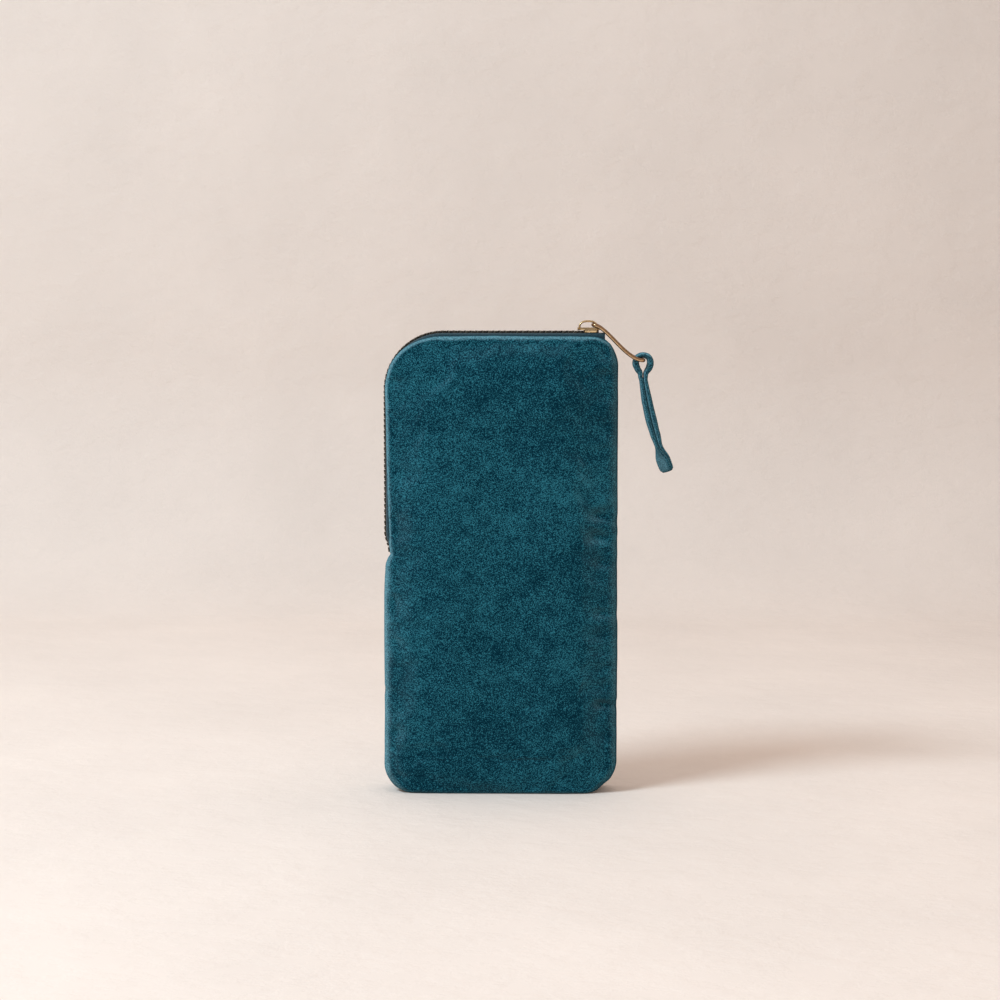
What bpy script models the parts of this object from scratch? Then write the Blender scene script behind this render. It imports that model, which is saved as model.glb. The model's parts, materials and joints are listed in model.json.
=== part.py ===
"""A soft velvet glasses case with a metal zip round its top left corner, standing on its short end.

The front is -Y, up is +Z, and the origin is on the floor under the middle of the case.
Each half of the case is a leaf: a velvet panel, a sheet of wadding and a lining, shaped like a shallow tray.
The leaves meet in a seam, except along the zip, where they leave room for the tapes, teeth and slider.
All lengths are in metres.
"""

import math

import bmesh
import bpy
from mathutils import Vector

# Overall size
CASE_WIDTH = 0.096
CASE_HEIGHT = 0.1905
CASE_DEPTH = 0.022
CLEARANCE = 0.0003

# Corner radii of the outline, seen from the front
SLIDING_CORNER_RADIUS = 0.0245
END_CORNER_RADIUS = 0.0115
LEFT_BASE_RADIUS = 0.0115
RIGHT_BASE_RADIUS = 0.0135
LEAST_RADIUS = 0.004

# Layers of a leaf, from the outside in
VELVET_THICKNESS = 0.0012
WADDING_THICKNESS = 0.0026
LINING_THICKNESS = 0.0006

# How much thinner each leaf is at its sides, top and base than in its middle, and how far in this reaches
SIDE_DROP = 0.0034
TOP_DROP = 0.0028
BASE_DROP = 0.0009
CROWN_REACH = 0.030

# Where the leaves are sewn together
SEAM_EDGE_RADIUS = 0.0045
SEAM_ROLL = 0.0012
SEAM_ROLL_DEPTH = 0.0022
LINING_SEAM_SPACE = 0.0005
LINING_SEAM_ROLL = 0.0007

# Where the zip lies between the leaves, which cover more of it round the sliding corner
ZIP_INSET = 0.0029
COVERED_ZIP_INSET = 0.0009
COVERED_ARC_SHARE = 0.6
ZIP_MOUTH_DEPTH = 0.0051
ZIP_EDGE_RADIUS = 0.0026
ZIP_ROLL = 0.0008
ZIP_ROLL_DEPTH = 0.0012
ZIP_LINING_INSET = 0.0056
ZIP_LINING_DEPTH = 0.0028

# The base, pressed flat by the weight of the case
BASE_EDGE_RADIUS = 0.0016
LINING_EDGE_RADIUS = 0.0015
ZIP_LINING_RADIUS = 0.0012
BASE_ARC_SHARE = 0.55

# Ends of the zip opening: a height at the left, angles from +X round the top right corner
NOTCH_HEIGHT = 0.0990
NOTCH_BLEND = 0.0050
CHAIN_DIP = 0.0018
CHAIN_DIP_LENGTH = 0.0080
END_ANGLE = math.radians(50)
END_BLEND_ANGLE = math.radians(30)

# The fold across the front leaf, from one end of the zip to the other
FOLD_WIDTH = 0.0040
FOLD_LINING_GAP = 0.0008
FOLD_PIVOT_DEPTH = 0.0095
FOLD_END_DROP = 0.0020

# Zip tape and teeth
TAPE_THICKNESS = 0.0006
TAPE_INSET = 0.0012
TAPE_EDGE_DEPTH = 0.0013
TAPE_EDGE_AT_STOPS = 0.0024
TAPE_TURN_DEPTH = 0.0033
TAPE_SIDE_DEPTH = 0.0045
TAPE_HEM_INSET = 0.0046
TAPE_END_FROM_SIDE = 0.0055
TOOTH_PITCH = 0.0023
TOOTH_HEIGHT = 0.0022
TOOTH_WIDTH = 0.0013
TOOTH_TIP_WIDTH = 0.0006
TOOTH_REACH = 0.00065
TOOTH_THROAT_DEPTH = 0.0010
TOOTH_HEEL_DEPTH = 0.00275
TOOTH_JAW = 0.0006
STOP_LENGTH = 0.0020
TOP_STOP_LENGTH = 0.0016
TOP_STOP_INNER_DEPTH = 0.0016

# Slider, at the closed end of the zip
SLIDER_TAIL_FROM_SIDE = 0.0167
SLIDER_LENGTH = 0.0095
SLIDER_HALF_WIDTH = 0.00385
SLIDER_TAIL_HALF_WIDTH = 0.0030
SLIDER_CHAMFER = 0.0012
TOP_PLATE = 0.0010
BOTTOM_PLATE = 0.0008
FLANGE_WIDTH = 0.0008
FLANGE_LENGTH = 0.0066
DIAMOND_LENGTH = 0.0036
DIAMOND_HALF_WIDTH = 0.00125
CROWN_LENGTH = 0.0080
CROWN_START = 0.0004
CROWN_HEIGHT = 0.0030
CROWN_THICKNESS = 0.0009
CROWN_HALF_WIDTH = 0.0017

# Pull wire, one bent loop
WIRE_DIAMETER = 0.0014
WIRE_HALF_WIDTH = 0.0049
WIRE_BEND_RADIUS = 0.0013
PULL_REACH = 0.0204
PULL_DROP = 0.0143
PULL_EARLY_SHARE = 0.9

# Pull strap, a velvet ribbon folded round the far bar of the wire
RIBBON_THICKNESS = 0.0021
RIBBON_WIDTH = 0.0070
LOOP_RADIUS = 0.00335
STRAP_HANG = 0.0388
STRAP_LEAN = 0.0096
STRAP_LEAN_START_SHARE = 0.55
STRAP_TWIST = math.radians(30)
STRAP_TWIST_START_SHARE = 0.72
STRAP_TWIST_END_SHARE = 0.90
TIP_START_SHARE = 0.88
TIP_LEAST_SHARE = 0.45

# Where the rings of a face lie, from its rolled edge to its flat middle
FINE_FACE_SHARES = (0.2, 0.5, 1)
FACE_SHARES = (0.4, 1)

# How finely the curves are divided
SLIDING_CORNER_STEPS = 8
END_CORNER_STEPS = 6
BASE_CORNER_STEPS = 5
TAPE_DIP_STEPS = 5
TAPE_BEND_STEPS = 9
WIRE_SIDE_STEPS = 9
WIRE_BEND_STEPS = 3
STRAP_STEPS = 16

HALF_WIDTH = CASE_WIDTH / 2
HALF_DEPTH = CASE_DEPTH / 2
SLIDER_TAIL_X = HALF_WIDTH - SLIDER_TAIL_FROM_SIDE
TAPE_END_X = HALF_WIDTH - TAPE_END_FROM_SIDE


def smooth(share):
    """Ease from 0 to 1, level at both ends."""
    share = min(max(share, 0), 1)
    return share * share * (3 - 2 * share)


def mix(first, last, share):
    return first + (last - first) * share


def material(name, colour, roughness, metallic=0.0):
    """A Principled material in one plain colour."""
    made = bpy.data.materials.new(name)
    made.use_nodes = True
    made.diffuse_color = (*colour, 1)
    shader = made.node_tree.nodes["Principled BSDF"]
    shader.inputs["Base Color"].default_value = (*colour, 1)
    shader.inputs["Roughness"].default_value = roughness
    shader.inputs["Metallic"].default_value = metallic
    return made


def finish(mesh_data, name, finish_material, pivot=None, smooth_angle=40):
    """Link a bmesh as an object, with its origin on the joint that moves it."""
    bmesh.ops.recalc_face_normals(mesh_data, faces=mesh_data.faces)
    origin = pivot.location if pivot else Vector()
    bmesh.ops.translate(mesh_data, verts=mesh_data.verts, vec=-origin)
    mesh = bpy.data.meshes.new(name)
    mesh_data.to_mesh(mesh)
    mesh_data.free()
    mesh.materials.append(finish_material)
    mesh.shade_smooth()
    mesh.set_sharp_from_angle(angle=math.radians(smooth_angle))
    made = bpy.data.objects.new(name, mesh)
    bpy.context.scene.collection.objects.link(made)
    if pivot:
        made.parent = pivot
    return made


def pivot_at(name, place, parent=None):
    """An empty on a joint's axis, which carries what moves there."""
    made = bpy.data.objects.new(name, None)
    made.empty_display_size = WIRE_HALF_WIDTH
    made.location = place - (parent.location if parent else Vector())
    made.parent = parent
    bpy.context.scene.collection.objects.link(made)
    return made


def add_loft(mesh_data, rings):
    """Join rings of points of equal count into a tube with filled ends."""
    made = [[mesh_data.verts.new(point) for point in ring] for ring in rings]
    for ring, following in zip(made, made[1:]):
        for index, corner in enumerate(ring):
            before = index - 1
            mesh_data.faces.new((ring[before], corner, following[index], following[before]))
    mesh_data.faces.new(made[0])
    mesh_data.faces.new(made[-1])


def join(body, part):
    """Unite a part with the body that carries it; the part stays behind as a guide."""
    part.hide_render = True
    part.display_type = "WIRE"
    joining = body.modifiers.new(part.name, "BOOLEAN")
    joining.operation = "UNION"
    joining.solver = "EXACT"
    joining.material_mode = "TRANSFER"
    joining.object = part


def add_prism(mesh_data, outline, low, high, axis):
    """Extrude an outline from low to high along axis 0, 1 or 2; its points give the other two axes in order."""
    def place(point, level):
        coordinates = list(point)
        coordinates.insert(axis, level)
        return Vector(coordinates)
    add_loft(mesh_data, [[place(point, level) for point in outline] for level in (low, high)])


# The case's outline, counter-clockwise from the bottom right corner as the front shows it
CORNERS = (
    (1, -1, RIGHT_BASE_RADIUS, 3, BASE_CORNER_STEPS),
    (1, 1, END_CORNER_RADIUS, 0, END_CORNER_STEPS),
    (-1, 1, SLIDING_CORNER_RADIUS, 1, SLIDING_CORNER_STEPS),
    (-1, -1, LEFT_BASE_RADIUS, 2, BASE_CORNER_STEPS),
)
LEFT_TOP = CASE_HEIGHT - SLIDING_CORNER_RADIUS


def left_share(height):
    """Share of the way down the left side at a height."""
    return (LEFT_TOP - height) / (LEFT_TOP - LEFT_BASE_RADIUS)


NOTCH_SHARES = [left_share(NOTCH_HEIGHT + step * NOTCH_BLEND) for step in (3, 1, 0, -0.3, -0.6, -1, -3)]
SIDE_SHARES = ([1 / 3, 2 / 3], [1 / 4, 1 / 2, 3 / 4], NOTCH_SHARES, [1 / 3, 2 / 3])


def corner_point(corner, share, inset):
    side_x, side_z, full_radius, quarter, _ = corner
    radius = max(full_radius - inset, LEAST_RADIUS)
    centre_x = side_x * (HALF_WIDTH - inset - radius)
    centre_z = CASE_HEIGHT - inset - radius if side_z > 0 else inset + radius
    angle = (quarter + share) * math.pi / 2
    return Vector((centre_x + radius * math.cos(angle), centre_z + radius * math.sin(angle)))


def outline_stations():
    """Where each point of a ring lies: (corner, share) on an arc, or (corner, next corner, share) on a side."""
    stations = []
    for index, corner in enumerate(CORNERS):
        steps = corner[-1]
        stations += [(corner, step / steps) for step in range(steps + 1)]
        following = CORNERS[(index + 1) % len(CORNERS)]
        stations += [(corner, following, share) for share in SIDE_SHARES[index]]
    return stations


STATIONS = outline_stations()


def station_point(station, inset):
    if len(station) == 2:
        return corner_point(*station, inset)
    corner, following, share = station
    return corner_point(corner, 1, inset).lerp(corner_point(following, 0, inset), share)


def kind_shares(station):
    """How far a point of the outline belongs to the bare zip, to the covered zip and to the base."""
    bottom_right, top_right, top_left, bottom_left = CORNERS
    corner, share = station[0], station[-1]
    on_arc = len(station) == 2
    if corner is top_left and on_arc:
        covered = smooth(share / COVERED_ARC_SHARE)
        return 1 - covered, covered, 0
    if corner is top_left:
        height = station_point(station, 0).y
        zip_share = smooth((height - NOTCH_HEIGHT) / NOTCH_BLEND + 1)
        covered = max(height - NOTCH_HEIGHT, 0) / (LEFT_TOP - NOTCH_HEIGHT)
        return zip_share - covered, covered, 0
    if corner is top_right:
        turned = share * math.pi / 2 if on_arc else math.pi / 2
        return smooth((turned - END_ANGLE + END_BLEND_ANGLE) / END_BLEND_ANGLE), 0, 0
    if corner is bottom_left:
        return 0, 0, smooth((share - 1 + BASE_ARC_SHARE) / BASE_ARC_SHARE) if on_arc else 1
    return 0, 0, smooth(1 - share / BASE_ARC_SHARE) if on_arc else 0


def end_shift(station):
    """How far the leaves' edge is lowered round the top right corner, where it turns down beside the zip's end."""
    if len(station) != 2 or station[0] is not CORNERS[1]:
        return Vector((0, 0))
    turned = station[1] * math.pi / 2
    zip_share = kind_shares(station)[0]
    return Vector((zip_share * math.cos(turned), zip_share * math.sin(turned) - 1)) * ZIP_INSET


def fall(distance):
    """Share of a drop that is left at a distance from the edge of the case."""
    return 1 - math.sin(min(max(distance / CROWN_REACH, 0), 1) * math.pi / 2)


def face_depth(flat):
    """Depth of the velvet's face, full in the middle; the falls to neighbouring edges run into each other."""
    drops = (SIDE_DROP * fall(HALF_WIDTH - flat.x), SIDE_DROP * fall(HALF_WIDTH + flat.x),
             TOP_DROP * fall(CASE_HEIGHT - flat.y), BASE_DROP * fall(flat.y))
    return HALF_DEPTH - sum(drop ** 3 for drop in drops) ** (1 / 3)


def blend(station, seam, bare, covered, base):
    """Mix the values that belong to the seam, the bare zip, the covered zip and the base."""
    bare_share, covered_share, base_share = kind_shares(station)
    seam_share = 1 - bare_share - covered_share - base_share
    return seam * seam_share + bare * bare_share + covered * covered_share + base * base_share


def leaf_point(station, inset):
    return station_point(station, inset) + end_shift(station)


def tray_column(station, side, rim, radius, roll, roll_depth, offset):
    """(inset, depth) of a tray's surface at one station, from its rim to the middle of its face.

    A roll_depth above zero gives the rim its rounded turn-in and the surface its finer rings.
    """
    fine = roll_depth > 0
    edge = face_depth(leaf_point(station, side + radius)) - offset
    drop = min(radius, edge - rim - roll_depth - CLEARANCE)
    points = [(side + roll, rim)]
    if fine:
        points += [(side + roll * (1 - math.sin(turn)), rim + roll_depth * (1 - math.cos(turn)))
                   for turn in (math.radians(40), math.radians(90))]
    arc_steps = 3 if fine else 2
    for step in range(arc_steps + 1):
        turn = step / arc_steps * math.pi / 2
        points.append((side + radius * (1 - math.cos(turn)), edge - drop * (1 - math.sin(turn))))
    return points + face_column(station, side + radius, offset, FINE_FACE_SHARES if fine else FACE_SHARES)


def face_column(station, start, offset, shares):
    """(inset, depth) of the rings of a face, at shares of the way from its edge to its flat middle."""
    insets = [mix(start, CROWN_REACH, share) for share in shares]
    return [(inset, face_depth(leaf_point(station, inset)) - offset) for inset in insets]


def surface_rings(column_at, facing):
    """Rings of points in space for one surface; facing is -1 for the front leaf and 1 for the back leaf."""
    columns = []
    for station in STATIONS:
        column = []
        for inset, depth in column_at(station):
            flat = leaf_point(station, inset)
            column.append(Vector((flat.x, facing * depth, flat.y)))
        columns.append(column)
    return [list(ring) for ring in zip(*columns)]


def velvet_rings(offset, facing):
    """The velvet's surface, offset inwards from its outer face; the outer face is the finer one."""
    def column_at(station):
        side = blend(station, 0, ZIP_INSET, COVERED_ZIP_INSET, 0) + offset
        rim = blend(station, CLEARANCE / 2, ZIP_MOUTH_DEPTH, ZIP_MOUTH_DEPTH, CLEARANCE / 2)
        radius = blend(station, SEAM_EDGE_RADIUS, ZIP_EDGE_RADIUS, ZIP_EDGE_RADIUS, BASE_EDGE_RADIUS) - offset
        roll = blend(station, SEAM_ROLL, ZIP_ROLL, ZIP_ROLL, 0)
        roll_depth = blend(station, SEAM_ROLL_DEPTH, ZIP_ROLL_DEPTH, ZIP_ROLL_DEPTH, SEAM_ROLL_DEPTH)
        return tray_column(station, side, rim, radius, roll, roll_depth if offset == 0 else 0, offset)

    return surface_rings(column_at, facing)


WADDING_OFFSET = VELVET_THICKNESS + CLEARANCE
LINING_OFFSET = WADDING_OFFSET + WADDING_THICKNESS + CLEARANCE


def wadding_rings(facing):
    """The wadding is a flat sheet with round edges that follows the face of the velvet."""
    round_edge = WADDING_THICKNESS / 2

    def column_at(station):
        beside_zip = ZIP_INSET + ZIP_EDGE_RADIUS + TAPE_THICKNESS
        start = blend(station, SEAM_EDGE_RADIUS, beside_zip, beside_zip, BASE_EDGE_RADIUS * 2)
        outside = face_column(station, start, WADDING_OFFSET, (0, *FACE_SHARES))
        inside = [(inset, depth - WADDING_THICKNESS) for inset, depth in outside]
        return outside[::-1] + [(start - round_edge, outside[0][1] - round_edge)] + inside

    return surface_rings(column_at, facing)


def lining_rings(offset, facing):
    """The lining's surface, offset from the side that touches the wadding."""
    def column_at(station):
        seam_side = WADDING_OFFSET + LINING_SEAM_SPACE
        side = blend(station, seam_side, ZIP_LINING_INSET, ZIP_LINING_INSET, WADDING_OFFSET) + offset
        rim = blend(station, CLEARANCE / 2, ZIP_LINING_DEPTH, ZIP_LINING_DEPTH, CLEARANCE / 2)
        radius = blend(station, LINING_EDGE_RADIUS, ZIP_LINING_RADIUS, ZIP_LINING_RADIUS,
                       LINING_EDGE_RADIUS) - offset
        roll = blend(station, LINING_SEAM_ROLL, 0, 0, 0)
        return tray_column(station, side, rim, radius, roll, 0, LINING_OFFSET + offset)

    return surface_rings(column_at, facing)


# The fold line: its two ends in the plane of the seam, and the way across it towards the flap
FOLD_START = Vector((HALF_WIDTH - END_CORNER_RADIUS * (1 - math.cos(END_ANGLE)), 0,
                     CASE_HEIGHT - ZIP_INSET - END_CORNER_RADIUS * (1 - math.sin(END_ANGLE))))
FOLD_END = Vector((-HALF_WIDTH, 0, NOTCH_HEIGHT - FOLD_END_DROP))
FOLD_ALONG = (FOLD_END - FOLD_START).normalized()
FOLD_ACROSS = Vector((0, 1, 0)).cross(FOLD_ALONG)


def leaf_piece(rings, name, finish_material, after=None, before=None, pivot=None):
    """Loft a layer and keep the part of it after and before two distances across the fold."""
    made = bmesh.new()
    add_loft(made, rings)
    bmesh.ops.triangulate(made, faces=made.faces, quad_method="SHORT_EDGE")
    for distance, towards_flap in ((after, True), (before, False)):
        if distance is None:
            continue
        bmesh.ops.recalc_face_normals(made, faces=made.faces)
        cut = bmesh.ops.bisect_plane(
            made, geom=made.verts[:] + made.edges[:] + made.faces[:],
            plane_co=FOLD_START + FOLD_ACROSS * distance, plane_no=FOLD_ACROSS,
            clear_inner=towards_flap, clear_outer=not towards_flap)
        rim = [item for item in cut["geom_cut"] if isinstance(item, bmesh.types.BMEdge)]
        bmesh.ops.holes_fill(made, edges=rim)
    return finish(made, name, finish_material, pivot)


def make_leaves(velvet, wadding, lining, flap):
    """Both leaves; the front one is cut at the fold, so that its upper part opens as a flap."""
    edge = FOLD_WIDTH / 2
    front = velvet_rings(0, -1)[::-1] + velvet_rings(VELVET_THICKNESS, -1)
    leaf_piece(front, "front_panel_lower", velvet, before=-edge - CLEARANCE)
    leaf_piece(front, "front_panel_fold", velvet, after=-edge, before=edge)
    leaf_piece(front, "front_panel_flap", velvet, after=edge + CLEARANCE, pivot=flap)
    back = velvet_rings(0, 1)[::-1] + velvet_rings(VELVET_THICKNESS, 1)
    leaf_piece(back, "back_panel", velvet)

    gap = FOLD_LINING_GAP / 2
    leaf_piece(wadding_rings(-1), "front_wadding_lower", wadding, before=-gap)
    leaf_piece(wadding_rings(-1), "front_wadding_flap", wadding, after=gap, pivot=flap)
    leaf_piece(wadding_rings(1), "back_wadding", wadding)
    front = lining_rings(0, -1)[::-1] + lining_rings(LINING_THICKNESS, -1)
    leaf_piece(front, "front_lining_lower", lining, before=-gap)
    leaf_piece(front, "front_lining_flap", lining, after=gap, pivot=flap)
    back = lining_rings(0, 1)[::-1] + lining_rings(LINING_THICKNESS, 1)
    leaf_piece(back, "back_lining", lining)


# The path of the zip: up the left side, round the sliding corner and along the top
CHAIN_LOW = NOTCH_HEIGHT + CLEARANCE
CHAIN_RISE = LEFT_TOP - CHAIN_LOW
CHAIN_BEND_RADIUS = SLIDING_CORNER_RADIUS - TAPE_INSET
CHAIN_BEND = CHAIN_BEND_RADIUS * math.pi / 2
TOP_START_X = SLIDING_CORNER_RADIUS - HALF_WIDTH


def chain_dip(travel):
    """How far the lower end of the zip turns into the case, towards the notch."""
    return CHAIN_DIP * smooth(1 - travel / CHAIN_DIP_LENGTH)


def chain_at(travel):
    """A point of the outline beside the zip, the way into the case and the way along the zip."""
    if travel <= CHAIN_RISE:
        place = Vector((chain_dip(travel) - HALF_WIDTH, 0, CHAIN_LOW + travel))
        return place, Vector((1, 0, 0)), Vector((0, 0, 1))
    if travel >= CHAIN_RISE + CHAIN_BEND:
        x = TOP_START_X + travel - CHAIN_RISE - CHAIN_BEND
        return Vector((x, 0, CASE_HEIGHT)), Vector((0, 0, -1)), Vector((1, 0, 0))
    turn = (travel - CHAIN_RISE) / CHAIN_BEND_RADIUS
    inwards = Vector((math.cos(turn), 0, -math.sin(turn)))
    along = Vector((math.sin(turn), 0, math.cos(turn)))
    return Vector((TOP_START_X, 0, LEFT_TOP)) - inwards * SLIDING_CORNER_RADIUS, inwards, along


def travel_to(x):
    """Distance along the zip to a place on the top side."""
    return CHAIN_RISE + CHAIN_BEND + x - TOP_START_X


SLIDER_HEAD_X = SLIDER_TAIL_X + SLIDER_LENGTH
DIAMOND_X = SLIDER_HEAD_X - DIAMOND_LENGTH - BOTTOM_PLATE


def tape_section(edge_depth, dip):
    """(inset, depth) round the tape: flat under the teeth, then turned down between velvet and lining."""
    half = TAPE_THICKNESS / 2
    middle = mix(TAPE_TURN_DEPTH, TAPE_SIDE_DEPTH, 1 / 2)
    hem = TAPE_HEM_INSET - dip
    turn = mix(TAPE_INSET, hem, 1 / 2)
    outer = [(TAPE_INSET - half, edge_depth), (TAPE_INSET - half, TAPE_TURN_DEPTH),
             (TAPE_INSET, middle + half), (turn - half, TAPE_SIDE_DEPTH + half),
             (hem, TAPE_SIDE_DEPTH + half)]
    inner = [(TAPE_INSET + half, edge_depth), (TAPE_INSET + half, TAPE_TURN_DEPTH),
             (TAPE_INSET + TAPE_THICKNESS, middle), (turn, TAPE_SIDE_DEPTH - half),
             (hem, TAPE_SIDE_DEPTH - half)]
    return outer + inner[::-1]


def make_tape(name, facing, finish_material, pivot=None):
    bend_end = CHAIN_RISE + CHAIN_BEND
    retreat_start = travel_to(DIAMOND_X)
    end = travel_to(TAPE_END_X)
    travels = [CHAIN_DIP_LENGTH * step / TAPE_DIP_STEPS for step in range(TAPE_DIP_STEPS + 1)]
    travels += [CHAIN_RISE + CHAIN_BEND * step / TAPE_BEND_STEPS for step in range(TAPE_BEND_STEPS + 1)]
    travels += [mix(bend_end, retreat_start, 1 / 2), retreat_start - BOTTOM_PLATE,
                retreat_start, retreat_start + BOTTOM_PLATE, end]
    rings = []
    for travel in travels:
        place, inwards, _ = chain_at(travel)
        retreat = smooth((travel - retreat_start + BOTTOM_PLATE) / (2 * BOTTOM_PLATE))
        section = tape_section(mix(TAPE_EDGE_DEPTH, TAPE_EDGE_AT_STOPS, retreat), chain_dip(travel))
        rings.append([place + inwards * inset + Vector((0, facing * depth, 0)) for inset, depth in section])
    made = bmesh.new()
    add_loft(made, rings)
    return finish(made, name, finish_material, pivot)


def add_tooth(mesh_data, travel, facing):
    """One tooth: its heel grips the tape and its tip reaches past the middle, between the other row's tips."""
    place, inwards, along = chain_at(travel)
    half, tip = TOOTH_WIDTH / 2, TOOTH_TIP_WIDTH / 2
    outline = [(-half, TOOTH_HEEL_DEPTH), (half, TOOTH_HEEL_DEPTH), (half, TOOTH_THROAT_DEPTH),
               (tip, -TOOTH_REACH), (-tip, -TOOTH_REACH), (-half, TOOTH_THROAT_DEPTH)]
    add_loft(mesh_data, [[place + inwards * inset + along * shift + Vector((0, facing * depth, 0))
                          for shift, depth in outline] for inset in (0, TOOTH_HEIGHT)])


def make_stringer(name, facing, tape, brass, shift, pivot=None):
    """A tape with its row of teeth, fused to it as metal teeth are pressed on.

    The other row is half a pitch further on, so that the tips of the two rows lie between each other.
    """
    stringer = make_tape(name, facing, tape, pivot)
    travel = STOP_LENGTH + TOOTH_PITCH * (1 / 2 + shift)
    last = travel_to(DIAMOND_X) - TOOTH_WIDTH / 2 - CLEARANCE
    made = bmesh.new()
    while travel < last:
        add_tooth(made, travel, facing)
        travel += TOOTH_PITCH
    teeth = finish(made, name + "_teeth", brass, pivot, smooth_angle=20)
    join(stringer, teeth)


def clamp_sides(length, tip_length, tip_depth, throat_depth, heel_depth):
    """(inset, depth, half length) round a piece that grips the tape's edge between two jaws."""
    far = TOOTH_HEIGHT - TOOTH_JAW
    half, tip = length / 2, tip_length / 2
    return [(0, tip_depth, tip), (0, throat_depth, half), (0, heel_depth, half),
            (TOOTH_JAW, heel_depth, half), (TOOTH_JAW, throat_depth, half), (far, throat_depth, half),
            (far, heel_depth, half), (TOOTH_HEIGHT, heel_depth, half), (TOOTH_HEIGHT, throat_depth, half),
            (TOOTH_HEIGHT, tip_depth, tip)]


def add_clamp(mesh_data, travel, facing, sides):
    """One tooth or stop on the tape at a distance along the zip."""
    place, inwards, along = chain_at(travel)
    rings = []
    for way in (-1, 1):
        rings.append([place + inwards * inset + Vector((0, facing * depth, 0)) + along * way * half
                      for inset, depth, half in sides])
    first, last = ([mesh_data.verts.new(point) for point in ring] for ring in rings)
    for index, corner in enumerate(first):
        before = index - 1
        mesh_data.faces.new((first[before], corner, last[index], last[before]))
    for ring in (first, last):
        mesh_data.faces.new([ring[index] for index in (0, 1, 8, 9)])
        mesh_data.faces.new([ring[index] for index in (1, 2, 3, 4)])
        mesh_data.faces.new([ring[index] for index in (5, 6, 7, 8)])
        mesh_data.faces.new([ring[index] for index in (1, 4, 5, 8)])


def make_top_stop(name, facing, finish_material):
    """A brass clip on the tape's edge, in the slider's mouth beside the diamond."""
    throat = TAPE_EDGE_AT_STOPS - CLEARANCE
    sides = clamp_sides(TOP_STOP_LENGTH, TOP_STOP_LENGTH, TOP_STOP_INNER_DEPTH, throat, TOOTH_HEEL_DEPTH)
    made = bmesh.new()
    add_clamp(made, travel_to(SLIDER_HEAD_X - TOP_STOP_LENGTH), facing, sides)
    finish(made, name, finish_material, smooth_angle=20)


def make_bottom_stop(finish_material):
    """A brass clip across both tapes at the lower end of the zip."""
    far = TOOTH_HEIGHT - TOOTH_JAW
    side = [(0, TOOTH_HEEL_DEPTH), (TOOTH_JAW, TOOTH_HEEL_DEPTH), (TOOTH_JAW, TOOTH_THROAT_DEPTH),
            (far, TOOTH_THROAT_DEPTH), (far, TOOTH_HEEL_DEPTH), (TOOTH_HEIGHT, TOOTH_HEEL_DEPTH)]
    outline = side + [(inset, -depth) for inset, depth in reversed(side)]
    rings = []
    for travel in (CLEARANCE, STOP_LENGTH):
        place, inwards, _ = chain_at(travel)
        rings.append([place + inwards * inset + Vector((0, depth, 0)) for inset, depth in outline])
    made = bmesh.new()
    add_loft(made, rings)
    finish(made, "bottom_stop", finish_material, smooth_angle=20)


CHANNEL_TOP = CASE_HEIGHT + CLEARANCE
CHANNEL_BOTTOM = CASE_HEIGHT - TOOTH_HEIGHT - CLEARANCE
PLATE_TOP = CHANNEL_TOP + TOP_PLATE
CROWN_CEILING = PLATE_TOP + CROWN_HEIGHT - CROWN_THICKNESS
CROWN_X = SLIDER_TAIL_X + CROWN_START
WIRE_X = CROWN_X + CROWN_LENGTH - CROWN_THICKNESS - CLEARANCE - WIRE_DIAMETER / 2
WIRE_Z = (PLATE_TOP + CROWN_CEILING) / 2


def plate_outline():
    """The slider's plates seen from above: narrow at the tail, full width with cut corners at the head."""
    tail, head = SLIDER_TAIL_X, SLIDER_HEAD_X
    half = [(tail, SLIDER_TAIL_HALF_WIDTH - SLIDER_CHAMFER), (tail + SLIDER_CHAMFER / 2, SLIDER_TAIL_HALF_WIDTH),
            (tail + 2 * SLIDER_CHAMFER, SLIDER_HALF_WIDTH), (head - SLIDER_CHAMFER, SLIDER_HALF_WIDTH),
            (head - SLIDER_CHAMFER / 3, SLIDER_HALF_WIDTH - SLIDER_CHAMFER / 2),
            (head, SLIDER_HALF_WIDTH - 2 * SLIDER_CHAMFER)]
    return half + [(x, -y) for x, y in reversed(half)]


def crown_profile():
    """The arched bridge over the pull wire, seen from the front, with its feet sunk into the top plate."""
    sunk = PLATE_TOP - TOP_PLATE / 2
    low, high = CROWN_X, CROWN_X + CROWN_LENGTH
    top = PLATE_TOP + CROWN_HEIGHT
    round_off = CROWN_THICKNESS
    outer = [(low, sunk), (low, top - 2 * round_off), (low + round_off / 2, top - round_off / 2),
             (low + 2 * round_off, top), (high - 2 * round_off, top),
             (high - round_off / 2, top - round_off / 2), (high, top - 2 * round_off), (high, sunk)]
    inner_low, inner_high = low + CROWN_THICKNESS, high - CROWN_THICKNESS
    inner = [(inner_high, sunk), (inner_high, CROWN_CEILING - round_off / 2),
             (inner_high - round_off / 2, CROWN_CEILING), (inner_low + round_off / 2, CROWN_CEILING),
             (inner_low, CROWN_CEILING - round_off / 2), (inner_low, sunk)]
    return outer + inner


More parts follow.
